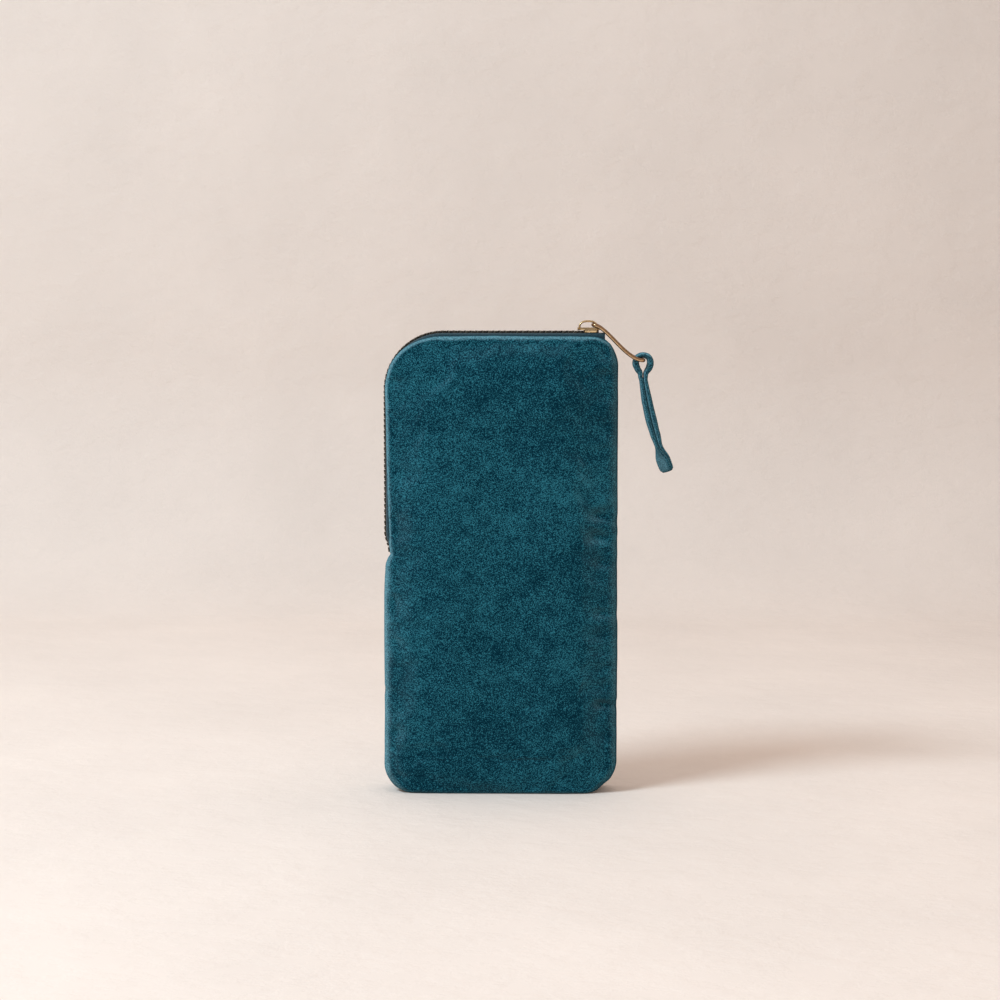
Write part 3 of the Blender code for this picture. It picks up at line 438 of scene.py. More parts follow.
class Outline:
    """The case's outline, counter-clockwise from the middle of the bottom right corner as the front shows it.

    Its stations are spaced evenly, so that the rings of a leaf and the grid of its face share their points.
    """

    def __init__(self, sizes, columns, rows):
        self.columns = columns
        self.rows = rows
        self.radii = (sizes.right_base_radius, sizes.end_radius, sizes.sliding_radius, sizes.left_base_radius)
        self.left_top = CASE_HEIGHT - sizes.sliding_radius
        self.stations = []
        for index, segments in enumerate((rows, columns, rows, columns)):
            self.stations += self.side_stations(index, (index + 1) % 4, segments)

    def side_stations(self, first, second, segments):
        """Stations from the middle of one corner to just before the middle of the next."""
        before, after = (self.radii[corner] * math.pi / 4 for corner in (first, second))
        straight = (self.corner_point(second, 0, 0) - self.corner_point(first, 1, 0)).length
        found = []
        for step in range(segments):
            run = (before + straight + after) * step / segments
            if run < before:
                found.append((first, None, 0.5 + run / before / 2))
            elif run <= before + straight:
                found.append((first, second, (run - before) / straight))
            else:
                found.append((second, None, (run - before - straight) / after / 2))
        return found

    def corner_point(self, corner, share, inset):
        side_x, side_z, quarter = CORNERS[corner]
        radius = max(self.radii[corner] - inset, LEAST_RADIUS)
        centre_x = side_x * (HALF_WIDTH - inset - radius)
        centre_z = CASE_HEIGHT - inset - radius if side_z > 0 else inset + radius
        angle = (quarter + share) * math.pi / 2
        point = Vector((centre_x + radius * math.cos(angle), centre_z + radius * math.sin(angle)))
        if corner == 1:
            # Round the end corner the leaves' own edge runs lower than the zip
            bare = self.shares((1, None, share))[0]
            point += Vector((bare * math.cos(angle), bare * math.sin(angle) - 1)) * ZIP_INSET
        return point

    def point(self, station, inset):
        first, second, share = station
        if second is None:
            return self.corner_point(first, share, inset)
        return self.corner_point(first, 1, inset).lerp(self.corner_point(second, 0, inset), share)

    def shares(self, station):
        """How far a station belongs to the bare zip, to the covered zip and to the base."""
        first, second, share = station
        if first == 2 and second is None:
            covered = smooth(share / COVERED_ARC_SHARE)
            return 1 - covered, covered, 0
        if first == 2:
            height = self.point(station, 0).y
            zip_share = min(math.exp((height - NOTCH_HEIGHT) / NOTCH_BLEND), 1)
            covered = max(height - NOTCH_HEIGHT, 0) / (self.left_top - NOTCH_HEIGHT)
            return zip_share - covered, covered, 0
        if first == 1:
            turn = share * math.pi / 2 if second is None else math.pi / 2
            return smooth((turn - END_ANGLE + END_BLEND_ANGLE) / END_BLEND_ANGLE), 0, 0
        if first == 3:
            return 0, 0, 1 if second is not None else smooth((share - 1 + BASE_ARC_SHARE) / BASE_ARC_SHARE)
        return 0, 0, smooth(1 - share / BASE_ARC_SHARE) if second is None else 0


def face_depth(sizes, x, z):
    """Depth of a leaf's face: full in the middle and falling to its sides, top and base."""
    def fall(distance):
        return 1 - math.sin(min(max(distance / CROWN_REACH, 0), 1) * math.pi / 2)

    drops = (sizes.side_drop * fall(HALF_WIDTH - x), sizes.side_drop * fall(HALF_WIDTH + x),
             sizes.top_drop * fall(CASE_HEIGHT - z), sizes.base_drop * fall(z))
    return HALF_DEPTH - sum(drop ** 3 for drop in drops) ** (1 / 3)


def blended(shares, zones):
    """Mix the values that belong to the seam, the bare zip, the covered zip and the base."""
    return sum(value * share for value, share in zip(zones, (1 - sum(shares), *shares)))


def rounded_edge(side, edge, radius, drop, steps):
    """(inset, depth) round the edge between a leaf's side and its face."""
    return [(side + radius * (1 - math.cos(turn)), edge - drop * (1 - math.sin(turn)))
            for turn in quarter(steps)]


def towards_grid(sizes, outline, station, start, face_inset, offset, shares):
    """(inset, depth) on the face, at shares of the way from one inset to where the grid begins."""
    insets = [mix(start, face_inset, share) for share in shares]
    return [(inset, face_depth(sizes, *outline.point(station, inset)) - offset) for inset in insets]


def velvet_section(sizes, outline, station, offset, face_inset):
    """(inset, depth) from the rolled rim of the velvet to where the grid of its face begins."""
    shares = outline.shares(station)
    side = blended(shares, NOTCH_PILE_INSETS if station[:2] == (2, 3) else PILE_INSETS) + offset
    rim = blended(shares, RIM_DEPTHS)
    roll = blended(shares, ROLL_INSETS)
    roll_depth = blended(shares, ROLL_DEPTHS)
    radius = blended(shares, EDGE_RADII) - offset
    points = [(side + roll * (1 - math.sin(turn)), rim + roll_depth * (1 - math.cos(turn)))
              for turn in map(math.radians, (0, 22, 45, 68, 90))]
    edge = face_depth(sizes, *outline.point(station, side + radius)) - offset
    drop = min(radius, edge - rim - roll_depth - CLEARANCE)
    points.append((side, mix(points[-1][1], edge - drop, 1 / 2)))
    points += rounded_edge(side, edge, radius, drop, 6)
    shares = (0.08, 0.2, 0.35, 0.5, 0.66, 0.83, 1)
    return points + towards_grid(sizes, outline, station, side + radius, face_inset, offset, shares)


def sheet_section(sizes, outline, station, offset, thickness, face_inset):
    """(inset, depth) round the edge of a flat sheet of wadding, from the middle of one side to the other."""
    shares = outline.shares(station)
    beside_zip = ZIP_INSET + EDGE_RADII[1] + TAPE_THICKNESS
    start = blended(shares, (EDGE_RADII[0], beside_zip, beside_zip, EDGE_RADII[3] * 2))
    half = thickness / 2
    outer = towards_grid(sizes, outline, station, start, face_inset, offset, (1, 0.66, 0.33, 0.1, 0))
    inner = [(inset, depth - thickness) for inset, depth in outer]
    edge = outer[-1][1]
    bend = [(start - half * math.sin(turn), edge - half + half * math.cos(turn))
            for turn in (math.radians(45), math.radians(90), math.radians(135))]
    return outer + bend + inner[::-1]


def lining_section(sizes, outline, station, offset, face_inset):
    """(inset, depth) of the lining, from its turned-in rim to where the grid of its face begins."""
    shares = outline.shares(station)
    side = blended(shares, LINING_INSETS) + offset
    rim = blended(shares, LINING_RIM_DEPTHS)
    radius = blended(shares, LINING_RADII) - offset
    roll = blended(shares, LINING_ROLLS)
    edge = face_depth(sizes, *outline.point(station, side + radius)) - LINING_OFFSET - offset
    # Beside the zip the lining reaches back to the tape's hem, where it is sewn
    hem = TAPE_HEM_INSET + offset
    hem_inset = blended(shares, (side + roll, hem, hem, side))
    hem_depth = blended(shares, (rim, LINING_HEM_DEPTH, LINING_HEM_DEPTH, rim))
    points = [(hem_inset, hem_depth), (side + roll, rim), (side + roll / 3, mix(rim, edge - radius, 0.3)),
              (side, mix(rim, edge - radius, 0.7))]
    points += rounded_edge(side, edge, radius, radius, 4)
    return points + towards_grid(
        sizes, outline, station, side + radius, face_inset, LINING_OFFSET + offset, (0.15, 0.4, 0.7, 1))


def face_grid(outline, face_inset):
    """Flat points inside the last ring, spread between its four sides, row by row from the base."""
    ring = [outline.point(station, face_inset) for station in outline.stations]
    rows, columns = outline.rows, outline.columns
    right = ring[:rows + 1]
    top = ring[rows:rows + columns + 1][::-1]
    left = ring[rows + columns:2 * rows + columns + 1][::-1]
    bottom = ring[2 * rows + columns:] + ring[:1]
    grid = []
    for row in range(1, rows):
        up = row / rows
        line = []
        for column in range(1, columns):
            across = column / columns
            sides = left[row].lerp(right[row], across)
            ends = bottom[column].lerp(top[column], up)
            corners = bottom[0].lerp(bottom[-1], across).lerp(top[0].lerp(top[-1], across), up)
            line.append(sides + ends - corners)
        grid.append(line)
    return grid


def ring_points(outline, section):
    """Points of every ring of a layer, in the order of its section, and the number of rings."""
    columns = [[(outline.point(station, inset), depth) for inset, depth in section(station)]
               for station in outline.stations]
    points = [Vector((flat.x, depth, flat.y)) for ring in zip(*columns) for flat, depth in ring]
    return points, len(columns[0])


def grid_points(sizes, outline, face_inset, offset):
    return [Vector((flat.x, face_depth(sizes, flat.x, flat.y) - offset, flat.y))
            for line in face_grid(outline, face_inset) for flat in line]


def sheet_surface(sizes, outline, section, face_inset, offset):
    """One surface of a leaf's layer: its rings, then the grid of its face; gives points and faces."""
    points, rings = ring_points(outline, section)
    count = len(outline.stations)
    faces = loft_faces(count, rings, closed_ends=False)
    faces += grid_faces(outline, (rings - 1) * count, rings * count)
    return points + grid_points(sizes, outline, face_inset, offset), faces


def grid_faces(outline, ring_start, grid_start):
    """Quads of the face's grid, whose border is the last ring."""
    rows, columns = outline.rows, outline.columns
    count = 2 * (rows + columns)

    def corner(row, column):
        if column == columns:
            return ring_start + row
        if row == rows:
            return ring_start + rows + columns - column
        if column == 0:
            return ring_start + rows + columns + rows - row
        if row == 0:
            return ring_start + (2 * rows + columns + column) % count
        return grid_start + (row - 1) * (columns - 1) + column - 1

    turns = ((0, 0), (0, 1), (1, 1), (1, 0))
    return [tuple(corner(row + up, column + over) for up, over in turns)
            for row in range(rows) for column in range(columns)]


def shell(outer, inner, ring_size, facing, shifts):
    """Two matching surfaces joined at their rims into a closed layer of the front (-1) or back (1) leaf."""
    (outer_points, outer_faces), (inner_points, inner_faces) = outer, inner
    points = [point + shift for point, shift in zip(outer_points + inner_points, shifts + shifts)]
    points = [Vector((point.x, facing * point.y, point.z)) for point in points]
    start = len(outer_points)
    faces = list(outer_faces) + [tuple(start + index for index in reversed(face)) for face in inner_faces]
    for index in range(ring_size):
        after = (index + 1) % ring_size
        faces.append((after, index, start + index, start + after))
    return points, faces


def filled_shape(points, faces, pinned_count, sizes):
    """How far each point of the velvet moves when wadding fills it and pushes it out, pinned at its rim.

    The cloth is cut a little larger than its pattern, so it gathers in soft wrinkles beside the seams.
    """
    sheet = linked("filling", plain_mesh("filling", points, faces))
    pins = sheet.vertex_groups.new(name="pins")
    pins.add(list(range(pinned_count)), 1, "REPLACE")
    cloth = sheet.modifiers.new("filling", "CLOTH")
    settings = cloth.settings
    settings.vertex_group_mass = "pins"
    settings.mass = 0.02
    settings.quality = 4
    settings.use_pressure = True
    settings.uniform_pressure_force = 1.2
    settings.tension_stiffness = settings.compression_stiffness = 8
    settings.shear_stiffness = 3
    settings.bending_stiffness = 0.02
    settings.shrink_min = settings.shrink_max = -0.006
    settings.effector_weights.gravity = 0
    cloth.collision_settings.use_collision = False
    for step in range(1, SETTLING_FRAMES + 1):
        bpy.context.scene.frame_set(step)
    shaped = sheet.evaluated_get(bpy.context.evaluated_depsgraph_get()).data
    moved = np.empty(len(points) * 3)
    shaped.vertices.foreach_get("co", moved)
    bpy.context.scene.frame_set(1)
    bpy.data.objects.remove(sheet)
    shifts = moved.reshape(-1, 3) - np.array([tuple(point) for point in points])
    rise = np.clip(shifts[:, 1], -SINK_SHARE * sizes.puff, sizes.puff)
    return [Vector((0, value, 0)) for value in rise]


# Creases beside the notch and the seams: (x, z) of both ends as shares of the half width and the height, then
# width and depth. The last four are on the front leaf alone
CREASES = (
    ((-1.00, 0.521), (-0.86, 0.507), 0.0016, 0.0006),
    ((-0.98, 0.541), (-0.78, 0.548), 0.0022, -0.0003),
    ((-0.98, 0.500), (-0.82, 0.488), 0.0024, -0.0003),
    ((0.84, 0.197), (1.00, 0.192), 0.0015, 0.0015),
    ((0.80, 0.212), (0.98, 0.208), 0.0022, -0.0004),
    ((-1.00, 0.223), (-0.93, 0.221), 0.0012, 0.0006),
    ((0.82, 0.605), (1.00, 0.590), 0.0020, 0.0010),
    ((0.80, 0.560), (1.00, 0.545), 0.0024, 0.0011),
    ((0.84, 0.505), (1.00, 0.498), 0.0018, 0.0009),
    ((0.84, 0.395), (1.00, 0.388), 0.0018, 0.0007),
)


# Waviness of the velvet: (length, height, stretch across) of its swells, and its puckers beside the seams
SWELLS = ((0.022, 0.00028, 1), (0.009, 0.00010, 2))
WAVE_START = 0.0012
WAVE_RISE = 0.003
WAVE_FOOT = 0.004
PUCKER_START = 0.0008
PUCKER_RISE = 0.0050
PUCKER_REACH = 0.008
PUCKER_LENGTH = 0.030
PUCKER_PITCH = 0.0042
PUCKER_DEPTH = 0.0016


def crease_depth(point, creases):
    """How far a point sinks into the creases near it."""
    total = 0
    place = Vector((point.x, point.z))
    for start, end, width, depth in creases:
        start, end = (Vector((x * HALF_WIDTH, z * CASE_HEIGHT)) for x, z in (start, end))
        run = end - start
        share = (place - start).dot(run) / run.length_squared
        nearest = start + run * min(max(share, 0), 1)
        reach = (place - nearest).length / width
        if reach < 3:
            total += depth * math.exp(-reach * reach) * (1 - 0.6 * smooth(share))
    return total


def surface_normals(points, faces):
    mesh = plain_mesh("normals", points, faces)
    found = [vertex.normal.copy() for vertex in mesh.vertices]
    bpy.data.meshes.remove(mesh)
    return [normal if normal.y > 0 or abs(normal.y) < 0.5 else -normal for normal in found]


def soft_shifts(points, faces, filling, creases, seed):
    """Moves of the velvet's outer face: its filling, its creases and the slight waviness of sewn cloth."""
    flipped = [tuple(reversed(face)) for face in faces]
    normals = surface_normals(points, flipped)
    moves = []
    for point, normal, fill in zip(points, normals, filling):
        wave = sum(noise.noise(Vector((point.x * stretch, seed, point.z)) / swell) * height
                   for swell, height, stretch in SWELLS)
        # The seams draw the cloth into short level puckers
        rim = HALF_WIDTH - abs(point.x)
        beside = math.exp(-rim / PUCKER_REACH) * smooth((rim - PUCKER_START) / PUCKER_RISE)
        pucker = noise.noise(Vector((point.x / PUCKER_LENGTH, seed, point.z / PUCKER_PITCH)))
        wave += pucker * PUCKER_DEPTH * beside
        free = smooth((point.y - WAVE_START) / WAVE_RISE) * smooth(point.z / WAVE_FOOT)
        moves.append(fill + normal * (wave - crease_depth(point, creases)) * free)
    return moves


FOLD_ACROSS = Vector(JOINTS["mouth_open"]["axis"]).cross(Vector((0, 1, 0)))

# The filling of the velvet: rings that stay put, frames until it has settled, and most that it may sink
PINNED_RINGS = 10
SETTLING_FRAMES = 18
SINK_SHARE = 0.3


def on_leaf(placed, facing, slot, *nodes):
    """Fix a piece of the front leaf in place, or attach a piece of the back leaf to the case body, and hide
    the parts that it replaces.
    """
    if FOLD_ACROSS.z < 0:
        raise RuntimeError("the fold's axis points the other way")
    if facing < 0:
        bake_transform(placed)
    else:
        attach(placed, "case_body")
    if nodes:
        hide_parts(*nodes)


def chosen(context):
    """The sizes and colours that the panel shows."""
    return context.scene.glasses_case_sizes, context.scene.glasses_case_colours


class CaseOperator:
    """What the operators of this file share"""
    bl_options = {"REGISTER", "UNDO"}


class GLASSES_CASE_OT_velvet(CaseOperator, bpy.types.Operator):
    """Make the two padded velvet leaves"""
    bl_idname = "glasses_case.velvet"
    bl_label = "Velvet Leaves"

    face_inset: a_length("Grid inset", "Where the face's grid begins", 0.0140)
    columns: bpy.props.IntProperty(name="Columns", description="Squares across the face", default=72, min=8)
    rows: bpy.props.IntProperty(name="Rows", description="Squares up the face", default=150, min=8)

    def execute(self, context):
        sizes, colours = chosen(context)
        velvet = once("cotton_velvet", velvet_material, colours)
        outline = Outline(sizes, self.columns, self.rows)
        ring = len(outline.stations)
        surfaces = [sheet_surface(sizes, outline, lambda station: velvet_section(
            sizes, outline, station, offset, self.face_inset), self.face_inset, offset)
            for offset in (0, sizes.velvet_thickness)]
        points, faces = surfaces[0]
        filling = [Vector()] * len(points)
        outwards = [tuple(reversed(face)) for face in faces]
        filling = filled_shape(points, outwards, PINNED_RINGS * ring, sizes)
        for name, facing, creases, nodes in (
                ("front_velvet_leaf", -1, CREASES,
                 ("front_panel_lower", "front_panel_fold", "front_panel_flap")),
                ("back_velvet_leaf", 1, CREASES[:-4], ("back_panel",))):
            shifts = soft_shifts(points, faces, filling, creases, facing)
            made = mesh_object(name, *shell(*surfaces, ring, facing, shifts), velvet)
            on_leaf(made, facing, "velvet", *nodes)
        return {"FINISHED"}


class GLASSES_CASE_OT_wadding(CaseOperator, bpy.types.Operator):
    """Make the padding sheet behind each velvet leaf"""
    bl_idname = "glasses_case.wadding"
    bl_label = "Wadding Sheets"

    GRID = (36, 76)
    TUFT_LENGTH, TUFT_HEIGHT = 0.006, 0.00012
    face_inset: a_length("Grid inset", "Where the face's grid begins", 0.0150)

    def execute(self, context):
        sizes, colours = chosen(context)
        finish = once("needled_polyester_wadding", wadding_material, colours.wadding)
        flat_points, faces = self.sheet(sizes, Outline(sizes, *self.GRID))
        for name, facing, nodes in (("front_wadding_sheet", -1, ("front_wadding_lower", "front_wadding_flap")),
                                    ("back_wadding_sheet", 1, ("back_wadding",))):
            points = [Vector((point.x, facing * point.y, point.z)) for point in flat_points]
            made = mesh_object(name, points, faces, finish)
            on_leaf(made, facing, "wadding", *nodes)
        return {"FINISHED"}

    def sheet(self, sizes, outline):
        """Rings round the sheet's edge between two grids, one for each side; the tufts make it uneven."""
        points, rings = ring_points(outline, lambda station: sheet_section(
            sizes, outline, station, WADDING_OFFSET, sizes.wadding_thickness, self.face_inset))
        count = len(outline.stations)
        faces = loft_faces(count, rings, closed_ends=False)
        inner = WADDING_OFFSET + sizes.wadding_thickness
        for ring_start, offset, flip in ((0, WADDING_OFFSET, True), ((rings - 1) * count, inner, False)):
            grid = grid_faces(outline, ring_start, len(points))
            points += grid_points(sizes, outline, self.face_inset, offset)
            faces += [tuple(reversed(face)) for face in grid] if flip else grid
        tufted = [point + Vector((0, noise.noise(point / self.TUFT_LENGTH) * self.TUFT_HEIGHT, 0))
                  for point in points]
        return tufted, faces


class GLASSES_CASE_OT_lining(CaseOperator, bpy.types.Operator):
    """Make the lining cloth of each leaf, which faces the glasses"""
    bl_idname = "glasses_case.lining"
    bl_label = "Lining"

    GRID = (48, 100)
    RIPPLE_LENGTH, RIPPLE_HEIGHT, RIPPLE_RISE = 0.012, 0.00014, 0.003
    face_inset: a_length("Grid inset", "Where the face's grid begins", 0.0150)

    def execute(self, context):
        sizes, colours = chosen(context)
        finish = once("plain_woven_cotton", woven_material, colours.lining, 0.0007)
        outline = Outline(sizes, *self.GRID)
        surfaces = [sheet_surface(sizes, outline, lambda station: lining_section(
            sizes, outline, station, offset, self.face_inset), self.face_inset, LINING_OFFSET + offset)
            for offset in (0, sizes.lining_thickness)]
        ripples = [Vector((0, noise.noise(point / self.RIPPLE_LENGTH) * self.RIPPLE_HEIGHT
                           * smooth(point.y / self.RIPPLE_RISE), 0)) for point in surfaces[0][0]]
        for name, facing, nodes in (("front_lining_cloth", -1, ("front_lining_lower", "front_lining_flap")),
                                    ("back_lining_cloth", 1, ("back_lining",))):
            made = mesh_object(name, *shell(*surfaces, len(outline.stations), facing, ripples), finish)
            on_leaf(made, facing, "lining_cloth", *nodes)
        return {"FINISHED"}


class Chain:
    """The path of the zip: up the left side, round the sliding corner and along the top."""

    def __init__(self, sizes):
        self.radius = sizes.sliding_radius
        self.left_top = CASE_HEIGHT - self.radius
        self.low = NOTCH_HEIGHT + CLEARANCE
        self.rise = self.left_top - self.low
        self.bend_radius = self.radius - TAPE_INSET
        self.bend = self.bend_radius * math.pi / 2
        self.top_start = self.radius - HALF_WIDTH

    def dip(self, travel):
        """How far the lower end of the zip turns into the case, towards the notch."""
        return CHAIN_DIP * smooth(1 - travel / CHAIN_DIP_LENGTH)

    def at(self, travel):
        """A point of the outline beside the zip, and the way from it into the case."""
        if travel <= self.rise:
            return Vector((self.dip(travel) - HALF_WIDTH, 0, self.low + travel)), Vector((1, 0, 0))
        if travel >= self.rise + self.bend:
            x = self.top_start + travel - self.rise - self.bend
            return Vector((x, 0, CASE_HEIGHT)), Vector((0, 0, -1))
        turn = (travel - self.rise) / self.bend_radius
        inwards = Vector((math.cos(turn), 0, -math.sin(turn)))
        return Vector((self.top_start, 0, self.left_top)) - inwards * self.radius, inwards

    def travel_to(self, x):
        """Distance along the zip to a place on the top side."""
        return self.rise + self.bend + x - self.top_start

    def path(self, first, last, inset, depth):
        """Points between two distances along the zip, at one inset and depth."""
        travels = [mix(first, last, step / PATH_STEPS) for step in range(PATH_STEPS + 1)]
        return [place + inwards * inset + Vector((0, depth, 0)) for place, inwards in map(self.at, travels)]


def tape_line(edge_depth, dip):
    """(inset, depth) along the middle of the tape: flat under the teeth, then turned in behind the velvet."""
    bend = TAPE_SIDE_DEPTH - TAPE_TURN_DEPTH
    points = [(TAPE_INSET, mix(edge_depth, TAPE_TURN_DEPTH, step / 4)) for step in range(5)]
    points += [(TAPE_INSET + bend * (1 - math.cos(turn)), TAPE_TURN_DEPTH + bend * math.sin(turn))
               for turn in quarter(5, 1)]
    return points + [(TAPE_HEM_INSET - dip, TAPE_SIDE_DEPTH)]


def tape_section(line):
    """The outline of the tape, whose middle is a line of (inset, depth) points."""
    sides = ([], [])
    for index, point in enumerate(line):
        before, after = line[max(index - 1, 0)], line[min(index + 1, len(line) - 1)]
        way = Vector((after[0] - before[0], after[1] - before[1])).normalized()
        out = Vector((way.y, -way.x)) * TAPE_THICKNESS / 2
        sides[0].append((point[0] - out.x, point[1] - out.y))
        sides[1].append((point[0] + out.x, point[1] + out.y))
    return sides[0] + sides[1][::-1]


class GLASSES_CASE_OT_tape(CaseOperator, bpy.types.Operator):
    """Make the two woven tapes of the zip"""
    bl_idname = "glasses_case.tape"
    bl_label = "Zip Tapes"

    steps: bpy.props.IntProperty(name="Steps", description="Divisions along the tape", default=170, min=20)

    def execute(self, context):
        sizes, colours = chosen(context)
        finish = once("woven_polyester_tape", woven_material, colours.tape, 0.00055, 0.5, 0.75, True)
        chain = Chain(sizes)
        end = chain.travel_to(TAPE_END_X)
        retreat = chain.travel_to(SLIDER_HIGH.x - DIAMOND_BACK)
        for name, facing, node in (("front_zip_tape", -1, "front_zip_stringer"),
                                   ("back_zip_tape", 1, "back_zip_stringer")):
            points = []
            for step in range(self.steps + 1):
                travel = end * step / self.steps
                place, inwards = chain.at(travel)
                back = smooth((travel - retreat) / TAPE_SPREAD_LENGTH + 1 / 2)
                edge_depth = mix(TAPE_EDGE_DEPTH, TAPE_SPREAD_DEPTH, back)
                section = tape_section(tape_line(edge_depth, chain.dip(travel)))
                points += [place + inwards * inset + Vector((0, facing * depth, 0))
                           for inset, depth in section]
            made = smoothed(mesh_object(name, points, loft_faces(len(section), self.steps + 1), finish), 50)
            self.add_map(made, chain)
            on_leaf(made, facing, "lining_cloth", node)
        return {"FINISHED"}

    def add_map(self, made, chain):
        """A UV map in metres, along the zip and out across the tape, so that the weave follows the corner."""
        corner = Vector((chain.top_start, 0, chain.left_top))
        layer = made.data.uv_layers.new(name="UVMap")
        for loop in made.data.loops:
            point = made.data.vertices[loop.vertex_index].co
            offset = point - corner
            if offset.x < 0 and offset.z > 0:
                turn = math.atan2(offset.z, -offset.x)
                travel = chain.rise + turn * chain.bend_radius
                inset = chain.radius - math.hypot(offset.x, offset.z)
            elif offset.z <= 0:
                travel, inset = point.z - chain.low, point.x + HALF_WIDTH
            else:
                travel, inset = chain.rise + chain.bend + offset.x, CASE_HEIGHT - point.z
            layer.data[loop.index].uv = (travel, inset + abs(point.y))


def repeat_tree(name):
    """Copies of a shape spaced evenly along a path, each turned with it in the plane of the case."""
    tree = bpy.data.node_groups.new(name, "GeometryNodeTree")
    for label, kind, way in (("Path", "Geometry", "INPUT"), ("Shape", "Object", "INPUT"),
                             ("Count", "Int", "INPUT"), ("Sway", "Float", "INPUT"), ("Seed", "Int", "INPUT"),
                             ("Finish", "Material", "INPUT"), ("Copies", "Geometry", "OUTPUT")):
        tree.interface.new_socket(label, in_out=way, socket_type="NodeSocket" + kind)
    given = add_node(tree, "NodeGroupInput", output=None)
    curve = add_node(tree, "GeometryNodeMeshToCurve", {"Mesh": given["Path"]})
    even = add_node(tree, "GeometryNodeResampleCurve", {"Curve": curve, "Count": given["Count"]})
    along = add_node(tree, "GeometryNodeInputTangent")
    turned = add_node(tree, "FunctionNodeAlignRotationToVector", {"Vector": along}, axis="X", pivot_axis="Y")
    back = add_node(tree, "Math", {0: given["Sway"], 1: -1.0}, operation="MULTIPLY")
    angle = add_node(tree, "FunctionNodeRandomValue", {
        "Min": back, "Max": given["Sway"], "Seed": given["Seed"]}, 1, data_type="FLOAT")
    sway = add_node(tree, "FunctionNodeAxisAngleToRotation", {"Axis": (0, 1, 0), "Angle": angle})
    rotation = add_node(tree, "FunctionNodeRotateRotation", {0: turned, 1: sway}, rotation_space="LOCAL")
    shape = add_node(tree, "GeometryNodeObjectInfo", {"Object": given["Shape"]}, "Geometry")
    copies = add_node(tree, "GeometryNodeInstanceOnPoints", {
        "Points": even, "Instance": shape, "Rotation": rotation})
    real = add_node(tree, "GeometryNodeRealizeInstances", {0: copies})
    finished = add_node(tree, "GeometryNodeSetMaterial", {"Geometry": real, "Material": given["Finish"]})
    add_node(tree, "NodeGroupOutput", {"Copies": finished})
    return tree


def repeated(name, path, shape, count, finish, sway=0.0, seed=1):
    """A plain mesh of copies of a shape along a path, on which its X runs and from which its Z points away."""
    placed = linked(name, plain_mesh(name, path, edges=[(step, step + 1) for step in range(len(path) - 1)]))
    modifier = placed.modifiers.new("repeat", "NODES")
    modifier.node_group = bpy.data.node_groups.get("repeat_along_path") or repeat_tree("repeat_along_path")
    values = {"Shape": shape, "Count": count, "Sway": sway, "Seed": seed, "Finish": finish}
    for item in modifier.node_group.interface.items_tree:
        if item.name in values and item.in_out == "INPUT":
            modifier[item.identifier] = values[item.name]
    flattened(placed)
    bpy.data.objects.remove(shape)
    return smoothed(placed, 35)


class GLASSES_CASE_OT_teeth(CaseOperator, bpy.types.Operator):
    """Make the two rows of interlocking metal teeth"""
    bl_idname = "glasses_case.teeth"
    bl_label = "Zip Teeth"

    # (depth, half width, drop of the top) from the tooth's heel on the tape to its tip in the other row
    RINGS = (
        (0.00275, 0.00050, 0.00030), (0.00262, 0.00070, 0.00010), (0.00200, 0.00078, 0), (0.00115, 0.00078, 0),
        (0.00075, 0.00056, 0.00012), (0.00010, 0.00048, 0.00008), (-0.00045, 0.00038, 0.00004),
        (-0.00065, 0.00024, 0.00020))
    height: a_length("Height", "How far a tooth reaches over both sides of the tape", TOOTH_HEIGHT)
    lean: a_length("Lean", "How far the top of a tooth leans to the slider", 0.00060)

    def tooth(self, facing, brass):
        points = []
        for depth, half, drop in self.RINGS:
            low, high = drop - self.height, -drop
            outline = (
                (-half, low + 0.0002), (-half * 0.6, low), (half * 0.6, low), (half, low + 0.0002),
                (half, high - 0.0005), (half * 0.66, high), (-half * 0.66, high), (-half, high - 0.0005))
            for x, z in outline:
                points.append(Vector((x + self.lean * (z / self.height + 0.5), facing * depth, z)))
        return mesh_object("tooth", points, loft_faces(len(outline), len(self.RINGS)), brass)

    def execute(self, context):
        sizes, colours = chosen(context)
        brass = once("antique_brass", metal_material, colours.teeth, 0.36, 0.75, 0.0005)
        chain = Chain(sizes)
        last = chain.travel_to(SLIDER_HIGH.x - DIAMOND_BACK) - LAST_TOOTH_BACK
        for name, facing, shift, node in (("front_zip_teeth", -1, 0, "front_zip_stringer"),
                                          ("back_zip_teeth", 1, 1 / 2, "back_zip_stringer")):
            start = STOP_LENGTH + sizes.tooth_pitch * (1 / 2 + shift)
            count = int((last - start) / sizes.tooth_pitch) + 1
            end = start + (count - 1) * sizes.tooth_pitch
            made = repeated(name, chain.path(start, end, 0, 0), self.tooth(facing, brass), count, brass, 0.02)
            on_leaf(made, facing, "brass", node)
        return {"FINISHED"}


